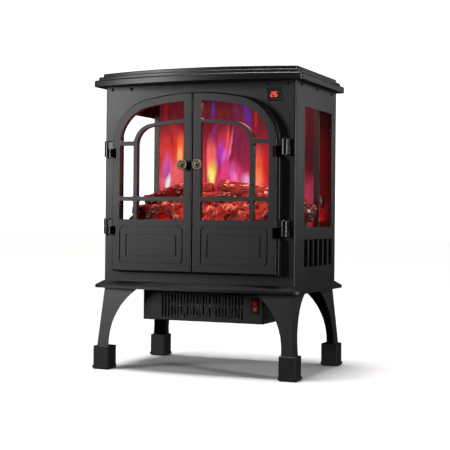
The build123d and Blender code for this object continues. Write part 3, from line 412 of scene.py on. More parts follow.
def litResin(name, finish):
    # cast resin over lamps: light from the lamps is painted as glow in the hollows. The high grain is pale and
    # the low grain dark, partly the resin's own paint and partly painted highlight and painted shade
    material, tree, shader = newMaterial(name)
    place = objectPlace(tree)
    high = addNode(tree, "ShaderNodeAttribute", attribute_name="relief").outputs["Fac"]
    speck = addNode(tree, "ShaderNodeTexNoise", {"Scale": perMetre(finish["speckMm"]), "Detail": 4.0,
                                                 "Roughness": 0.65}, {"Vector": place})
    patch = addNode(tree, "ShaderNodeTexNoise", {"Scale": perMetre(finish["patchMm"]), "Detail": 2.0},
                    {"Vector": place})
    rough = addNode(tree, "ShaderNodeMath", {1: 0.45, 2: -0.22}, {0: speck}, operation="MULTIPLY_ADD")
    highlightShadeAndSpeck = addNode(tree, "ShaderNodeMath", links={0: high, 1: rough}, operation="ADD")
    # painted highlight and shade: pale colours on high relief and coal tops, dark ones in cracks and the gaps
    # between coals
    ramp = addNode(tree, "ShaderNodeValToRGB", links={0: highlightShadeAndSpeck})
    stops = ramp.color_ramp.elements
    while len(stops) < len(finish["colours"]):
        stops.new(0.5)
    for stop, (position, colour) in zip(stops, finish["colours"]):
        stop.position, stop.color = position, linear(colour)
    hollow = addNode(tree, "ShaderNodeMapRange",
                     {"From Min": finish["glowBelow"], "From Max": 0.0, "To Min": 0.0, "To Max": 1.0},
                     {"Value": highlightShadeAndSpeck}, interpolation_type="SMOOTHSTEP")
    glowPatch = addNode(tree, "ShaderNodeMapRange", {"From Min": 0.4, "From Max": 0.62}, {"Value": patch})
    up = addNode(tree, "ShaderNodeSeparateXYZ", links={0: place})
    # painted light: the lamp glow is faded upwards, away from the lamps below, and dimmed on the left as
    # painted shade
    fade = addNode(tree, "ShaderNodeMapRange",
                   {"From Min": finish["glowFadeFrom"], "From Max": finish["glowFadeTo"], "To Min": 1.0,
                    "To Max": finish["glowFadeShare"]}, {"Value": up.outputs["Z"]})
    side = addNode(tree, "ShaderNodeMapRange",
                   {"From Min": -0.13, "From Max": -0.06, "To Min": finish["leftGlowShare"], "To Max": 1.0},
                   {"Value": up.outputs["X"]})
    glow = addNode(tree, "ShaderNodeMath", links={0: hollow, 1: glowPatch}, operation="MULTIPLY")
    glow = addNode(tree, "ShaderNodeMath", links={0: glow, 1: fade}, operation="MULTIPLY")
    glow = addNode(tree, "ShaderNodeMath", links={0: glow, 1: side}, operation="MULTIPLY")
    fire = addNode(tree, "ShaderNodeMix", {6: (0, 0, 0, 1), 7: linear(finish["glow"])}, {0: glow},
                   data_type="RGBA")
    relief = addNode(tree, "ShaderNodeBump", {"Distance": finish["reliefMm"] * mm}, {"Height": speck})
    gloss = addNode(tree, "ShaderNodeMapRange", {"To Min": 0.42, "To Max": 0.7}, {"Value": speck})
    tree.links.new(ramp.outputs[0], shader.inputs["Base Color"])
    tree.links.new(fire.outputs[2], shader.inputs["Emission Color"])
    tree.links.new(relief.outputs[0], shader.inputs["Normal"])
    tree.links.new(gloss.outputs[0], shader.inputs["Roughness"])
    shader.inputs["Emission Strength"].default_value = finish["strength"]
    material.cycles.emission_sampling = "NONE"
    return material


def glowingPlastic(name, body, glow, strength, grainMm):
    # translucent plastic with a lamp behind it
    material, tree, shader = newMaterial(name)
    cloud = addNode(tree, "ShaderNodeTexNoise", {"Scale": perMetre(grainMm), "Detail": 2.0},
                    {"Vector": objectPlace(tree)})
    lit = addNode(tree, "ShaderNodeMix", {6: linear(body), 7: linear(glow)}, {0: cloud}, data_type="RGBA")
    tree.links.new(lit.outputs[2], shader.inputs["Emission Color"])
    tree.links.new(lit.outputs[2], shader.inputs["Base Color"])
    shader.inputs["Emission Strength"].default_value = strength
    shader.inputs["Roughness"].default_value = 0.28
    material.cycles.emission_sampling = "NONE"
    return material


# colours run from painted shade in cracks and gaps up to painted highlight on ridges and coal tops, over the
# resin's own paint
logFinish = {
    "speckMm": 3.2, "patchMm": 34, "reliefMm": 0.5, "glow": "#f01c14", "strength": 0.7,
    # glow fade and left share: the painted glow is dimmed higher up and on the left
    "glowBelow": 0.5, "glowFadeFrom": 0.33, "glowFadeTo": 0.39, "glowFadeShare": 0.3, "leftGlowShare": 0.25,
    "colours": ((0.0, "#200404"), (0.34, "#560e0b"), (0.55, "#7c2018"), (0.7, "#bc7e6a"), (0.86, "#f6e0d0")),
}
emberFinish = {
    "speckMm": 3.6, "patchMm": 26, "reliefMm": 0.6, "glow": "#e01812", "strength": 0.8,
    # glow fade and left share: the painted glow is dimmed higher up and on the left
    "glowBelow": 0.62, "glowFadeFrom": 0.31, "glowFadeTo": 0.34, "glowFadeShare": 0.7, "leftGlowShare": 0.12,
    "colours": ((0.0, "#1c0303"), (0.32, "#5e0d0b"), (0.54, "#8c2018"), (0.7, "#c0806c"), (0.86, "#f6e0d0")),
}

palette = {name: skinMaterial(name) for name in skins}
palette["galvanisedSheet"] = galvanisedSheet()
palette["antiqueBrass"] = antiqueBrass()
palette["circuitBoard"] = circuitBoard()
palette["circuitBoardLit"] = circuitBoard(litFrom=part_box("led_board")[1].z - 0.7 * mm)
palette["clearGlass"] = clearGlass()
# painted shade: an opaque black band down both edges of the front glass
palette["edgedGlass"] = clearGlass(shadeBandFrom=165.5 * mm)
palette["mirrorFoil"] = mirrorFoil()
palette["flameScreen"] = flameScreen()
palette["barkResin"] = litResin("paintedBarkResin", logFinish)
palette["emberResin"] = litResin("paintedEmberResin", emberFinish)
palette["litSwitch"] = glowingPlastic("litSwitchAcrylic", "#3a0505", "#80100c", 0.35, 6)
palette["displayLens"] = glowingPlastic("smokedLensAcrylic", "#0c0203", "#260607", 0.5, 9)
palette["litDigit"] = glowingPlastic("litDigit", "#ff3422", "#ff6a4a", 1.3, 2)
palette["printedMark"] = glowingPlastic("printedWhite", "#a89c98", "#d8d0cc", 0.15, 1.5)

slotFinish = {  # finish of each material slot that the part declares
    "black_powder_coat": "satinBlackPowderCoat", "cast_door_black": "paintedCastIron",
    "hinge_black": "glossBlackHinge", "bright_steel": "polishedSteel", "black_zinc": "blackZincPlate",
    "antique_brass": "antiqueBrass", "foot_plastic": "mouldedNylon", "foot_rubber": "blackRubber",
    "clear_glass": "clearGlass", "galvanised_sheet": "galvanisedSheet", "flame_acrylic": "flameScreen",
    "ember_resin": "emberResin", "log_resin": "barkResin", "spindle_foil": "mirrorFoil",
    "motor_can": "motorCanSteel", "circuit_board": "circuitBoard", "heater_black": "heaterEnamel",
    "mesh_steel": "darkWire", "heater_fins": "aluminiumFin", "blower_plastic": "blowerPolymer",
    "switch_black": "glossySwitchAbs", "switch_red": "litSwitch", "display_black": "glossySwitchAbs",
    "display_lens": "displayLens",
}
for name, node in nodes.items():
    for slot in node.material_slots:
        slot.material = palette[slotFinish[slot.material.name.split(".")[0]]]
nodes["led_board"].material_slots[0].material = palette["circuitBoardLit"]
nodes["front_glass"].material_slots[0].material = palette["edgedGlass"]
for name in ("firebox_ceiling", "screen_brackets"):
    nodes[name].material_slots[0].material = palette["heaterEnamel"]
print("finishes ready:", len(palette))

# logs: round billets of cracked bark, their ends sawn square

barkSizes = {
    "plateMm": 8.0, "plateStretch": 1.9, "crackMm": 2.2, "fibreMm": 3.0, "fibreDepthMm": 0.8,
    "lumpMm": 48.0, "lumpDepthMm": 3.0, "bendMm": 4.0, "around": 88, "stepMm": 2.4,
}


def billetLine(node):
    # the ends and end radii of a straight tapered billet, read from its own vertices
    points = np.array([vertex.co for vertex in node.data.vertices])
    centre = (points.max(axis=0) + points.min(axis=0)) / 2
    axis = np.linalg.svd(points - points.mean(axis=0), full_matrices=False)[2][0]
    if axis[0] < 0:
        axis = -axis
    along = (points - centre) @ axis
    ends = []
    for level in (along.min(), along.max()):
        ring = points[abs(along - level) < 3 * mm]
        middle = ring.mean(axis=0)
        across = ring - middle - np.outer((ring - middle) @ axis, axis)
        ends.append((Vector(middle + axis * (level - (middle - centre) @ axis)),
                     float(np.linalg.norm(across, axis=1).max())))
    return ends


def barkLog(nodeName, seed):
    (start, startRadius), (end, endRadius) = billetLine(nodes[nodeName])
    axis = (end - start).normalized()
    across = axis.cross(Vector((0, 0, 1))).normalized()
    up = across.cross(axis)
    length = (end - start).length
    around = barkSizes["around"]
    rows = int(length / (barkSizes["stepMm"] * mm))
    shift = Vector((seed * 7.3, seed * 3.1, seed * 5.7))

    def build(shape):
        layer = shape.verts.layers.float.new("relief")
        rings = []
        for row in range(rows + 1):
            share = row / rows
            radius = startRadius + (endRadius - startRadius) * share
            bend = barkSizes["bendMm"] * mm * sin(pi * share)
            swayed = Vector((noise.noise(Vector((share * 2.2, seed, 0.3))),
                             noise.noise(Vector((share * 2.2, 9.1, seed))), 0)) * bend
            centre = start + axis * length * share + across * swayed.x + up * swayed.y
            ring = []
            for step in range(around):
                angle = 2 * pi * step / around
                side, rise = cos(angle) * radius, sin(angle) * radius
                run = length * share
                spot = Vector((side, rise, run))
                plate = Vector((side, rise, run / barkSizes["plateStretch"])) / (barkSizes["plateMm"] * mm)
                plate += shift + noise.noise_vector(spot / (14 * mm)) * 0.35
                near = noise.voronoi(plate)[0]
                crack = min(1.0, (near[1] - near[0]) / 0.34)
                fibre = noise.fractal(Vector((side, rise, run * 0.22)) / (barkSizes["fibreMm"] * mm)
                                      + shift, 0.9, 2.1, 3)
                lump = noise.noise(spot / (barkSizes["lumpMm"] * mm) + shift)
                height = ((crack ** 0.7 - 1) * barkSizes["crackMm"] + fibre * barkSizes["fibreDepthMm"]
                          + lump * barkSizes["lumpDepthMm"]) * mm
                reach = radius + height
                vertex = shape.verts.new(centre + across * cos(angle) * reach + up * sin(angle) * reach)
                vertex[layer] = max(0.0, min(1.0, 0.1 + 0.55 * crack + 0.55 * fibre))
                ring.append(vertex)
            rings.append(ring)
        for low, high in zip(rings, rings[1:]):
            for step in range(around):
                following = (step + 1) % around
                shape.faces.new((low[step], low[following], high[following], high[step]))
        for ring, outward in ((rings[0], -1), (rings[-1], 1)):
            # sawn end: growth rings, a pale rim and a little splintering
            middle = sum((vertex.co for vertex in ring), Vector()) / around
            outer = ring
            for inset in (0.93, 0.8, 0.66, 0.52, 0.38, 0.24, 0.1):
                inner = []
                for vertex in ring:
                    place = middle.lerp(vertex.co, inset)
                    place = place + axis * noise.noise(place / (5 * mm) + shift) * 0.8 * mm
                    made = shape.verts.new(place)
                    made[layer] = 0.86 if inset > 0.9 else 0.42 + 0.2 * sin(inset * 40)
                    inner.append(made)
                for step in range(around):
                    following = (step + 1) % around
                    quad = (outer[step], outer[following], inner[following], inner[step])
                    shape.faces.new(quad if outward > 0 else quad[::-1])
                outer = inner
            shape.faces.new(outer if outward > 0 else outer[::-1])

    log = finishedMesh(nodeName + "_bark", build)
    bmeshNormals(log)
    log.data.materials.append(palette["barkResin"])
    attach(log, "casing")
    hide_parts(nodeName)


def bmeshNormals(piece):
    # turns every face outwards on a closed shell
    shape = bmesh.new()
    shape.from_mesh(piece.data)
    bmesh.ops.recalc_face_normals(shape, faces=shape.faces)
    shape.to_mesh(piece.data)
    shape.free()


for number, nodeName in enumerate(("rear_left_log", "rear_right_log", "left_log", "middle_log", "right_log",
                                   "front_log")):
    barkLog(nodeName, number + 1)
print("logs carved")

# bed of coals: one moulded tray of lumps, with loose coals strewn over it

bedSizes = {
    "stepMm": 2.6, "cornerMm": 26.0, "edgeMm": 13.0, "coalMm": 26.0, "coalRiseMm": 9.0,
    "profile": ((-94, 294), (-70, 320), (-35, 336), (74, 348)), "leftFrom": -172, "leftTo": -95, "leftDrop": 16,
    "looseCoals": {"radius": 9.0 * mm, "spacing": 27 * mm, "seed": 11},
}
bedLow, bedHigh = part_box("ember_bed")


def bedShape(x, y):
    # height of the moulding and how near a gap between coals is, at one place on the tray
    insetX = min(x - bedLow.x, bedHigh.x - x)
    insetFront, insetBack = y - bedLow.y, bedHigh.y - y
    corner = bedSizes["cornerMm"] * mm
    inset = min(insetX, insetFront, insetBack)
    if insetX < corner and insetFront < corner:
        inset = corner - hypot(corner - insetX, corner - insetFront)
    share = max(0.0, min(1.0, inset / (bedSizes["edgeMm"] * mm)))
    wall = (1 - (1 - share) ** 2) ** 0.5
    points = bedSizes["profile"]
    level = points[0][1]
    for (y0, z0), (y1, z1) in zip(points, points[1:]):
        if y / mm >= y0:
            level = z0 + (z1 - z0) * min(1, (y / mm - y0) / (y1 - y0))
    left = (x / mm - bedSizes["leftFrom"]) / (bedSizes["leftTo"] - bedSizes["leftFrom"])
    level -= bedSizes["leftDrop"] * (1 - max(0.0, min(1.0, left)))
    spot = Vector((x, y, 0)) / (bedSizes["coalMm"] * mm)
    spot += noise.noise_vector(Vector((x, y, 0)) / (9 * mm)) * 0.25
    near = noise.voronoi(spot + Vector((3.3, 8.1, 0.2)))[0]
    dome = max(0.0, 1 - (near[0] / 0.75) ** 2) ** 0.5
    pit = noise.fractal(Vector((x, y, 0.3)) / (5 * mm), 0.9, 2.0, 3)
    level += dome * bedSizes["coalRiseMm"] * (0.75 + 0.5 * noise.cell(spot)) + pit * 1.0
    relief = max(0.0, min(1.0, 0.12 + 0.62 * min(1, (near[1] - near[0]) / 0.5) + 0.5 * pit))
    return bedLow.z + (level * mm - bedLow.z) * wall, relief


def buildBed(shape):
    layer = shape.verts.layers.float.new("relief")
    across = int((bedHigh.x - bedLow.x) / (bedSizes["stepMm"] * mm))
    deep = int((bedHigh.y - bedLow.y) / (bedSizes["stepMm"] * mm))
    grid = []
    for row in range(deep + 1):
        line = []
        for column in range(across + 1):
            x = bedLow.x + (bedHigh.x - bedLow.x) * column / across
            y = bedLow.y + (bedHigh.y - bedLow.y) * row / deep
            z, relief = bedShape(x, y)
            vertex = shape.verts.new((x, y, max(z, bedLow.z + 0.4 * mm)))
            vertex[layer] = relief
            line.append(vertex)
        grid.append(line)
    for near, far in zip(grid, grid[1:]):
        for column in range(across):
            shape.faces.new((near[column], near[column + 1], far[column + 1], far[column]))
    rim = grid[0] + [line[-1] for line in grid[1:]] + grid[-1][-2::-1] + [line[0] for line in grid[-2:0:-1]]
    foot = [shape.verts.new((vertex.co.x, vertex.co.y, bedLow.z)) for vertex in rim]
    for step in range(len(rim)):
        following = (step + 1) % len(rim)
        shape.faces.new((rim[step], foot[step], foot[following], rim[following]))
    shape.faces.new(foot[::-1])


bed = finishedMesh("moulded_ember_bed", buildBed)
bmeshNormals(bed)
bed.data.materials.append(palette["emberResin"])


def buildCoal(shape):
    # one broken lump, about 13 mm across before each copy is scaled
    layer = shape.verts.layers.float.new("relief")
    bmesh.ops.create_icosphere(shape, subdivisions=2, radius=1)
    for vertex in shape.verts:
        bump = noise.noise(vertex.co * 1.3 + Vector((2, 5, 1))) + 0.5 * noise.noise(vertex.co * 3.1)
        vertex.co = vertex.co.normalized() * (1 + 0.45 * bump)
        vertex.co.z *= 0.72
        vertex[layer] = max(0.0, min(1.0, 0.45 + 0.9 * bump))


def coalTree(coal):
    tree, start, finish = geometryTree("Loose Coals", {
        "Coal Radius": "NodeSocketFloat", "Spacing": "NodeSocketFloat", "Seed": "NodeSocketInt",
        "Finish": "NodeSocketMaterial"})
    normal = addNode(tree, "ShaderNodeSeparateXYZ", links={0: addNode(tree, "GeometryNodeInputNormal")})
    upward = addNode(tree, "FunctionNodeCompare", {1: 0.55}, {0: normal.outputs["Z"]},
                     operation="GREATER_THAN")
    scatter = addNode(tree, "GeometryNodeDistributePointsOnFaces", {"Density Max": 9000.0},
                      {"Mesh": start.outputs["Geometry"], "Selection": upward,
                       "Distance Min": start.outputs["Spacing"], "Seed": start.outputs["Seed"]},
                      distribute_method="POISSON")
    turn = addNode(tree, "FunctionNodeRandomValue", {0: (0, 0, 0), 1: (6.28, 6.28, 6.28)},
                   {"Seed": start.outputs["Seed"]}, data_type="FLOAT_VECTOR")
    size = addNode(tree, "FunctionNodeRandomValue", {2: 0.6, 3: 1.25}, {"Seed": start.outputs["Seed"]},
                   data_type="FLOAT")
    scale = addNode(tree, "ShaderNodeMath", links={0: size.outputs[1], 1: start.outputs["Coal Radius"]},
                    operation="MULTIPLY")
    lump = addNode(tree, "GeometryNodeObjectInfo", {"Object": coal})
    spread = addNode(tree, "GeometryNodeInstanceOnPoints",
                     links={"Points": scatter.outputs["Points"], "Instance": lump.outputs["Geometry"],
                            "Rotation": turn.outputs[0], "Scale": scale})
    real = addNode(tree, "GeometryNodeRealizeInstances", links={0: spread})
    dressed = addNode(tree, "GeometryNodeSetMaterial",
                      links={"Geometry": real, "Material": start.outputs["Finish"]})
    tree.links.new(dressed.outputs[0], finish.inputs[0])
    return tree


coalLump = finishedMesh("coal_lump", buildCoal)
ground = finishedMesh("coal_ground", buildBed)
loose = bedSizes["looseCoals"]
useTree(ground, coalTree(coalLump), {"Coal Radius": loose["radius"], "Spacing": loose["spacing"],
                                     "Seed": loose["seed"], "Finish": palette["emberResin"]})
coals = settle(ground, "loose_coals")
bpy.data.objects.remove(coalLump)
for face in coals.data.polygons:
    face.use_smooth = True
for piece in (bed, coals):
    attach(piece, "casing")
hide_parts("ember_bed")
print("coals laid:", len(coals.data.polygons), "faces")

# screws with a cross recess

screwSizes = {
    "headRadius": 3.0 * mm, "headRise": 1.9 * mm, "slotLength": 3.6 * mm, "slotWidth": 0.75 * mm,
    "slotDepth": 1.2 * mm, "x": (0.147, 0.19), "z": 0.5675, "sideY": (-0.08, 0.015, 0.11),
    "backX": 0.196, "backZ": (0.2, 0.32, 0.44, 0.555),
}


def crossScrew(name, radius, rise, slotLength, slotWidth, slotDepth):
    # domed head standing on +Z, its recess cut by two crossed bars
    profile = [(radius * 0.94, -0.2 * mm), (radius, 0.15 * rise), (radius * 0.95, 0.45 * rise),
               (radius * 0.8, 0.75 * rise), (radius * 0.55, 0.92 * rise), (radius * 0.25, rise)]
    head = finishedMesh(name, lambda shape: lathe(shape, profile, Vector(), Vector((0, 0, 1)),
                                                  Vector((1, 0, 0)), 32))

    def buildBars(shape):
        for size in ((slotLength, slotWidth), (slotWidth, slotLength)):
            box = bmesh.ops.create_cube(shape, size=1)["verts"]
            bmesh.ops.scale(shape, vec=(*size, 2 * slotDepth), verts=box)
            bmesh.ops.translate(shape, vec=(0, 0, rise), verts=box)

    bars = finishedMesh(name + "_bars", buildBars, smooth=False)
    cut = head.modifiers.new("recess", "BOOLEAN")
    cut.object, cut.operation, cut.solver, cut.use_self = bars, "DIFFERENCE", "EXACT", True
    cutHead = settle(head, name)
    bpy.data.objects.remove(bars)
    cutHead.data.set_sharp_from_angle(angle=radians(40))
    return cutHead


def screwPoints():
    x, z = screwSizes["x"], screwSizes["z"]
    front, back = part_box("front_panel")[0].y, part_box("back_panel")[1].y
    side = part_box("front_panel")[1].x
    points = [((flip * across, front, z), (0, -1, 0)) for across in x for flip in (-1, 1)]
    points += [((flip * side, y, z), (flip, 0, 0)) for y in screwSizes["sideY"] for flip in (-1, 1)]
    points += [((flip * screwSizes["backX"], back, level), (0, 1, 0))
               for level in screwSizes["backZ"] for flip in (-1, 1)]
    return points


def screwTree(screw):
    tree, start, finish = geometryTree("Casing Screws", {"Screw Size": "NodeSocketFloat",
                                                         "Finish": "NodeSocketMaterial"})
    axis = addNode(tree, "GeometryNodeInputNamedAttribute", {"Name": "axis"}, data_type="FLOAT_VECTOR")
    aim = addNode(tree, "FunctionNodeAlignRotationToVector", links={"Vector": axis}, axis="Z")
    spin = addNode(tree, "FunctionNodeRandomValue", {2: 0.0, 3: 1.57, "Seed": 5}, data_type="FLOAT")
    turned = addNode(tree, "FunctionNodeAxisAngleToRotation", {"Axis": (0, 0, 1)},
                     {"Angle": spin.outputs[1]})
    both = addNode(tree, "FunctionNodeRotateRotation", links={0: aim, 1: turned}, rotation_space="LOCAL")
    head = addNode(tree, "GeometryNodeObjectInfo", {"Object": screw})
    placed = addNode(tree, "GeometryNodeInstanceOnPoints",
                     links={"Points": start.outputs["Geometry"], "Instance": head.outputs["Geometry"],
                            "Rotation": both, "Scale": start.outputs["Screw Size"]})
    real = addNode(tree, "GeometryNodeRealizeInstances", links={0: placed})
    dressed = addNode(tree, "GeometryNodeSetMaterial",
                      links={"Geometry": real, "Material": start.outputs["Finish"]})
    tree.links.new(dressed.outputs[0], finish.inputs[0])
    return tree


panelHead = crossScrew("panel_head", screwSizes["headRadius"], screwSizes["headRise"],
                       screwSizes["slotLength"], screwSizes["slotWidth"], screwSizes["slotDepth"])
places = screwPoints()
cloud = bpy.data.meshes.new("screw_places")
cloud.from_pydata([place for place, axis in places], [], [])
axes = cloud.attributes.new("axis", "FLOAT_VECTOR", "POINT")
axes.data.foreach_set("vector", [part for place, axis in places for part in axis])
screwCloud = bpy.data.objects.new("screw_places", cloud)
bpy.context.collection.objects.link(screwCloud)
useTree(screwCloud, screwTree(panelHead), {"Screw Size": 1.0, "Finish": palette["blackZincPlate"]})
casingScrews = settle(screwCloud, "casing_screws")
bpy.data.objects.remove(panelHead)
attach(casingScrews, "casing")
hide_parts("panel_screws")

# woven wire behind the heater grille

wireSizes = {"pitch": 3.4 * mm, "wire": 0.42 * mm, "sway": 0.45 * mm}


def weaveTree():
    tree, start, finish = geometryTree("Woven Wire", {
        "Width": "NodeSocketFloat", "Height": "NodeSocketFloat", "Pitch": "NodeSocketFloat",
        "Wire Radius": "NodeSocketFloat", "Sway": "NodeSocketFloat", "Centre": "NodeSocketVector",
        "Finish": "NodeSocketMaterial"})
    wires = []
    for label, cross, direction in (("Width", "Height", (0, 0, 1)), ("Height", "Width", (1, 0, 0))):
        # a row of straight wires across one way
        count = addNode(tree, "ShaderNodeMath", links={0: start.outputs[label], 1: start.outputs["Pitch"]},
                        operation="DIVIDE")
        middle = addNode(tree, "ShaderNodeMath", {1: -0.5}, {0: start.outputs[label]}, operation="MULTIPLY")
        along = (1, 0, 0) if direction[2] else (0, 0, 1)
        first = addNode(tree, "ShaderNodeVectorMath", {0: along}, {3: middle}, operation="SCALE")
        gap = addNode(tree, "ShaderNodeVectorMath", {0: along}, {3: start.outputs["Pitch"]},
                      operation="SCALE")
        row = addNode(tree, "GeometryNodeMeshLine",
                      links={"Count": count, "Start Location": first, "Offset": gap}, mode="OFFSET")
        half = addNode(tree, "ShaderNodeMath", {1: 0.5}, {0: start.outputs[cross]}, operation="MULTIPLY")
        top = addNode(tree, "ShaderNodeVectorMath", {0: direction}, {3: half}, operation="SCALE")
        bottom = addNode(tree, "ShaderNodeVectorMath", {1: (-1, -1, -1)}, {0: top}, operation="MULTIPLY")
        line = addNode(tree, "GeometryNodeCurvePrimitiveLine", links={"Start": bottom, "End": top})
        short = addNode(tree, "ShaderNodeMath", {1: 0.5}, {0: start.outputs["Pitch"]}, operation="MULTIPLY")
        fine = addNode(tree, "GeometryNodeResampleCurve", links={"Curve": line, "Length": short},
                       mode="LENGTH")
        laid = addNode(tree, "GeometryNodeInstanceOnPoints", links={"Points": row, "Instance": fine})
        real = addNode(tree, "GeometryNodeRealizeInstances", links={0: laid})
        place = addNode(tree, "ShaderNodeSeparateXYZ", links={0: addNode(tree, "GeometryNodeInputPosition")})
        waves = []
        for part in ("X", "Z"):
            ratio = addNode(tree, "ShaderNodeMath", links={0: place.outputs[part],
                                                          1: start.outputs["Pitch"]}, operation="DIVIDE")
            angle = addNode(tree, "ShaderNodeMath", {1: pi}, {0: ratio}, operation="MULTIPLY")
            waves.append(addNode(tree, "ShaderNodeMath", links={0: angle}, operation="COSINE"))
        weave = addNode(tree, "ShaderNodeMath", links={0: waves[0], 1: waves[1]}, operation="MULTIPLY")
        reach = addNode(tree, "ShaderNodeMath", links={0: weave, 1: start.outputs["Sway"]},
                        operation="MULTIPLY")
        push = addNode(tree, "ShaderNodeVectorMath", {0: (0, 1 if direction[2] else -1, 0)}, {3: reach},
                       operation="SCALE")
        wires.append(addNode(tree, "GeometryNodeSetPosition", links={"Geometry": real, "Offset": push}))
    both = addNode(tree, "GeometryNodeJoinGeometry")
    for wire in wires:
        tree.links.new(wire.outputs[0], both.inputs[0])
    section = addNode(tree, "GeometryNodeCurvePrimitiveCircle", {"Resolution": 5},
                      {"Radius": start.outputs["Wire Radius"]})
    tubes = addNode(tree, "GeometryNodeCurveToMesh",
                    links={"Curve": both, "Profile Curve": section.outputs["Curve"]})
    placed = addNode(tree, "GeometryNodeTransform",
                   links={"Geometry": tubes, "Translation": start.outputs["Centre"]})
    real = addNode(tree, "GeometryNodeRealizeInstances", links={0: placed})
    dressed = addNode(tree, "GeometryNodeSetMaterial",
                      links={"Geometry": real, "Material": start.outputs["Finish"]})
    tree.links.new(dressed.outputs[0], finish.inputs[0])
    return tree


meshLow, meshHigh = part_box("outlet_mesh")
meshCentre = (meshLow + meshHigh) / 2
anchor = finishedMesh("weave_start", lambda shape: shape.verts.new((0, 0, 0)))
useTree(anchor, weaveTree(), {
    "Width": meshHigh.x - meshLow.x, "Height": meshHigh.z - meshLow.z, "Pitch": wireSizes["pitch"],
    "Wire Radius": wireSizes["wire"], "Sway": wireSizes["sway"], "Centre": meshCentre,
    "Finish": palette["darkWire"]})
wovenWire = settle(anchor, "woven_outlet_mesh")
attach(wovenWire, "casing")
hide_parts("outlet_mesh")
print("wire woven:", len(wovenWire.data.polygons), "faces")

# door knobs: a rosette with a screw through its middle

knobSizes = {"petals": 12, "petalDepth": 0.07, "grooveShare": 0.62, "screwRadius": 3.7 * mm,
             "screwRise": 1.9 * mm}


def rosette(side):
    low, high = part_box(side + "_knob")
    radius = (high.x - low.x) / 2
    centre = Vector(((low.x + high.x) / 2, high.y, (low.z + high.z) / 2))
    thick = 3.5 * mm
    profile = [(0.2, 0.0), (0.9, 0.0), (0.985, 0.12), (1.0, 0.4), (0.97, 0.75), (0.9, 0.98), (0.8, 1.0),
               (0.72, 0.93), (0.66, 0.72), (0.6, 0.62), (0.54, 0.7), (0.47, 0.9), (0.38, 0.96), (0.2, 0.96)]

    def swell(angle, reach, height):
        share = reach / radius
        petal = abs(sin(angle * knobSizes["petals"] / 2)) ** 0.6
        return reach * (1 - knobSizes["petalDepth"] * (1 - petal) * max(0.0, (share - 0.5) * 2))

    def build(shape):
        layer = shape.verts.layers.float.new("rubbed")
        rings = lathe(shape, [(reach * radius, height * thick) for reach, height in profile], centre,
                      Vector((0, -1, 0)), Vector((1, 0, 0)), 96, swell)
        for ring, (reach, height) in zip(rings, profile):
            for step, vertex in enumerate(ring):
                petal = abs(sin(2 * pi * step / 96 * knobSizes["petals"] / 2)) ** 0.6
                if 0.68 < reach < 0.95 and height > 0.5:
                    vertex.co.y += (1 - petal) * 0.55 * mm
                vertex[layer] = max(0.0, height - 0.25 * (1 - petal))

    disc = finishedMesh(side + "_rosette", build)
    bmeshNormals(disc)
    screw = crossScrew(side + "_knob_screw", knobSizes["screwRadius"], knobSizes["screwRise"], 4.6 * mm,
                       0.9 * mm, 1.1 * mm)
    screw.data.transform(Matrix.Translation(centre + Vector((0, -thick * 0.93, 0)))
                         @ Matrix.Rotation(radians(90), 4, "X") @ Matrix.Rotation(radians(33), 4, "Z"))
    rubbed = screw.data.attributes.new("rubbed", "FLOAT", "POINT")
    rubbed.data.foreach_set("value", [0.15] * len(screw.data.vertices))
    for piece in (disc, screw):
        piece.data.materials.clear()
        piece.data.materials.append(palette["antiqueBrass"])
        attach(piece, side + "_door")
    disc.data.set_sharp_from_angle(angle=radians(50))
    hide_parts(side + "_knob")


for side in ("left", "right"):
    rosette(side)
print("knobs turned")

# lit digits and the marks on the rocker

digitSizes = {"height": 9.6 * mm, "width": 5.2 * mm, "bar": 1.25 * mm, "gap": 2.4 * mm, "proud": 0.25 * mm,
              "shown": ("2", "6")}
barsOf = {"2": "abged", "6": "afgedc"}  # segment letters, a at the top and g across the middle


def buildDigits(shape):
    low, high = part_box("display_screen")
    middle = (low + high) / 2
    width, height, bar = digitSizes["width"], digitSizes["height"], digitSizes["bar"]
    pitch = width + digitSizes["gap"]
    for number, digit in enumerate(digitSizes["shown"]):
        centre = Vector((middle.x + (number - 0.5) * pitch, low.y - digitSizes["proud"], middle.z))
        spots = {"a": (0, 0.5, True), "g": (0, 0, True), "d": (0, -0.5, True), "f": (-0.5, 0.25, False),
                 "b": (0.5, 0.25, False), "e": (-0.5, -0.25, False), "c": (0.5, -0.25, False)}
        for letter in barsOf[digit]:
            x, z, flat = spots[letter]
            long = (width if flat else height / 2) / 2 - 0.25 * mm
            outline = [(-long, 0), (-long + bar / 2, bar / 2), (long - bar / 2, bar / 2), (long, 0),
                       (long - bar / 2, -bar / 2), (-long + bar / 2, -bar / 2)]
            lean = 0.08
            front, back = [], []
            for u, v in outline:
                if not flat:
                    u, v = v, u
                across, up = x * width + u, z * (height - bar) + v
                spot = centre + Vector((across + up * lean, 0, up))
                front.append(shape.verts.new(spot))
                back.append(shape.verts.new(spot + Vector((0, digitSizes["proud"] + 0.1 * mm, 0))))
            shape.faces.new(front)
            shape.faces.new(back[::-1])
            for step in range(6):
                following = (step + 1) % 6
                shape.faces.new((front[step], back[step], back[following], front[following]))


digits = finishedMesh("lit_digits", buildDigits, smooth=False)
bmeshNormals(digits)
digits.data.materials.append(palette["litDigit"])
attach(digits, "casing")

markSizes = {"lift": 0.12 * mm, "line": 0.55 * mm, "length": 4.0 * mm, "ring": 2.0 * mm, "from": 5.6 * mm}


def rockerFaces():
    # the two working faces of the rocker: middle, outward normal and upward direction of each
    found = {}
    for polygon in nodes["rocker"].data.polygons:
        if polygon.normal.y < -0.9:
            found.setdefault(round(polygon.normal.z, 1), []).append(polygon)
    faces = []
    for group in found.values():
        area = sum(polygon.area for polygon in group)
        if area < 1e-4:
            continue
        middle = sum((polygon.center * polygon.area for polygon in group), Vector()) / area
        normal = group[0].normal.copy()
        faces.append((middle, normal, Vector((1, 0, 0)).cross(normal) * -1))
    return sorted(faces, key=lambda face: face[0].z)


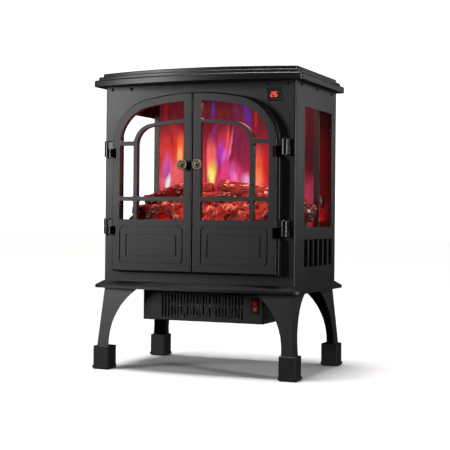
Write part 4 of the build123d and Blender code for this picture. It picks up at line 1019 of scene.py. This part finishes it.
def buildMarks(shape):
    for number, (middle, normal, up) in enumerate(rockerFaces()):
        origin, across = middle + normal * markSizes["lift"], Vector((1, 0, 0))
        if number == 0:  # ring for off, on the lower face
            loops = []
            for reach in (markSizes["ring"], markSizes["ring"] - markSizes["line"]):
                loops.append([shape.verts.new(origin + (across * cos(a) + up * sin(a)) * reach)
                              for a in (2 * pi * step / 32 for step in range(32))])
            for step in range(32):
                following = (step + 1) % 32
                shape.faces.new((loops[0][step], loops[0][following], loops[1][following], loops[1][step]))
        else:  # bar for on, on the upper face
            half = markSizes["line"] / 2
            shape.faces.new([shape.verts.new(origin + across * u * half + up * v * markSizes["length"] / 2)
                             for u, v in ((-1, -1), (1, -1), (1, 1), (-1, 1))])
    faces = list(shape.faces)
    for face in faces:
        face.normal_update()
        if face.normal.y > 0:
            face.normal_flip()
    thick = bmesh.ops.extrude_face_region(shape, geom=faces)["geom"]
    bmesh.ops.translate(shape, vec=(0, markSizes["lift"] * 0.9, 0),
                        verts=[part for part in thick if isinstance(part, bmesh.types.BMVert)])


marks = finishedMesh("rocker_marks", buildMarks, smooth=False)
bmeshNormals(marks)
marks.data.materials.append(palette["printedMark"])
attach(marks, "rocker")
print("display and switch marked")

# room: floor, light and camera

room = {
    "floor": "#f3f3f2", "floorSize": 30.0, "backdrop": 1.3,
    "fill": ((0.0, 0.02), (0.45, 0.025), (0.5, 0.04), (0.65, 0.06), (1.0, 0.1)),  # from below to overhead
    "sun": {"strength": 3.7, "spread": 22, "aim": (0.12, 0.1, -1.25)},
    "softboxes": (
        {"place": (-1.55, -1.85, 0.8), "target": (-0.05, -0.13, 0.4), "size": (0.8, 0.9), "power": 28,
         "colour": "#ffffff"},
        {"place": (1.5, 1.9, 0.72), "target": (0.2, 0.0, 0.4), "size": (0.6, 0.7), "power": 3.6,
         "colour": "#ffffff"},
        {"place": (2.1, -0.85, 0.55), "target": (0.2, -0.1, 0.4), "size": (0.22, 1.3), "power": 26,
         "colour": "#ffffff"},
    ),
    "fireLamps": (
        {"place": (0.0, -0.02, 0.552), "target": (0.0, 0.0, 0.3), "size": (0.3, 0.1), "power": 1.1,
         "colour": "#ff8878"},
        {"place": (0.0, 0.112, 0.305), "target": (0.0, 0.14, 0.5), "size": (0.33, 0.02), "power": 2.0,
         "colour": "#ff1c24"},
        {"place": (0.12, 0.095, 0.4), "target": (0.2, 0.141, 0.4), "size": (0.02, 0.2), "power": 0.5,
         "colour": "#ff1420"},
        {"place": (-0.12, 0.095, 0.42), "target": (-0.2, 0.13, 0.42), "size": (0.02, 0.2), "power": 0.5,
         "colour": "#ff1420"},
    ),
}


def areaLamp(name, lamp):
    light = bpy.data.lights.new(name, "AREA")
    light.shape, light.size, light.size_y = "RECTANGLE", *lamp["size"]
    light.energy = lamp["power"]
    light.color = linear(lamp["colour"])[:3]
    made = bpy.data.objects.new(name, light)
    made.location = lamp["place"]
    aim = Vector(lamp["target"]) - Vector(lamp["place"])
    made.rotation_euler = aim.to_track_quat("-Z", "Y").to_euler()
    made.visible_camera = False
    bpy.context.collection.objects.link(made)


for number, lamp in enumerate(room["softboxes"]):
    areaLamp("softbox_" + str(number + 1), lamp)
for number, lamp in enumerate(room["fireLamps"]):
    areaLamp("fire_lamp_" + str(number + 1), lamp)

sun = bpy.data.lights.new("overhead", "SUN")
sun.energy, sun.angle = room["sun"]["strength"], radians(room["sun"]["spread"])
overhead = bpy.data.objects.new("overhead", sun)
overhead.rotation_euler = Vector(room["sun"]["aim"]).to_track_quat("-Z", "Y").to_euler()
bpy.context.collection.objects.link(overhead)

world = bpy.data.worlds.new("studio")
bpy.context.scene.world = world
world.use_nodes = True
sky = world.node_tree
sky.nodes.clear()
seen = addNode(sky, "ShaderNodeLightPath").outputs["Is Camera Ray"]
way = addNode(sky, "ShaderNodeSeparateXYZ", links={0: addNode(sky, "ShaderNodeTexCoord").outputs["Generated"]})
level = addNode(sky, "ShaderNodeMapRange", {"From Min": -1.0, "From Max": 1.0}, {"Value": way.outputs["Z"]})
shades = addNode(sky, "ShaderNodeValToRGB", links={0: level})
stops = shades.color_ramp.elements
while len(stops) < len(room["fill"]):
    stops.new(0.5)
for stop, (position, shade) in zip(stops, room["fill"]):
    stop.position, stop.color = position, (shade, shade, shade, 1)
fill = addNode(sky, "ShaderNodeBackground", links={"Color": shades})
backdrop = addNode(sky, "ShaderNodeBackground", {"Color": (1, 1, 1, 1), "Strength": room["backdrop"]})
chosen = addNode(sky, "ShaderNodeMixShader", links={0: seen, 1: fill, 2: backdrop})
addNode(sky, "ShaderNodeOutputWorld", links={"Surface": chosen})


def paintedFloor():
    material, tree, shader = newMaterial("paintedFloor")
    cloud = addNode(tree, "ShaderNodeTexNoise", {"Scale": perMetre(300)}, {"Vector": objectPlace(tree)})
    shade = addNode(tree, "ShaderNodeMix", {6: linear("#f0f0ef"), 7: linear(room["floor"])}, {0: cloud},
                    data_type="RGBA")
    tree.links.new(shade.outputs[2], shader.inputs["Base Color"])
    shader.inputs["Roughness"].default_value = 0.65
    return material


half = room["floorSize"] / 2
floor = finishedMesh("floor", lambda shape: shape.faces.new(
    [shape.verts.new((x, y, -0.2 * mm)) for x, y in ((-half, -half), (half, -half), (half, half),
                                                     (-half, half))]))
floor.data.materials.append(paintedFloor())
floor.visible_glossy = floor.visible_diffuse = False  # the coat's gloss shows the room and not the white floor

cameraSetup = {"place": (0.9283, -2.1693, 0.3075), "heading": 23.03, "pitch": 0.04, "roll": 0.556,
               "lens": 91.44, "shift": (0.0084, -0.0164)}
camera = bpy.data.cameras.new("camera")
camera.lens, camera.sensor_width = cameraSetup["lens"], 36
camera.shift_x, camera.shift_y = cameraSetup["shift"]
camera.clip_start = 0.05
viewer = bpy.data.objects.new("camera", camera)
viewer.matrix_world = (Matrix.Translation(cameraSetup["place"])
                       @ Matrix.Rotation(radians(cameraSetup["heading"]), 4, "Z")
                       @ Matrix.Rotation(radians(90 + cameraSetup["pitch"]), 4, "X")
                       @ Matrix.Rotation(radians(cameraSetup["roll"]), 4, "Z"))
bpy.context.collection.objects.link(viewer)
bpy.context.scene.camera = viewer
bpy.context.scene.view_settings.view_transform = "Standard"
print("room lit")
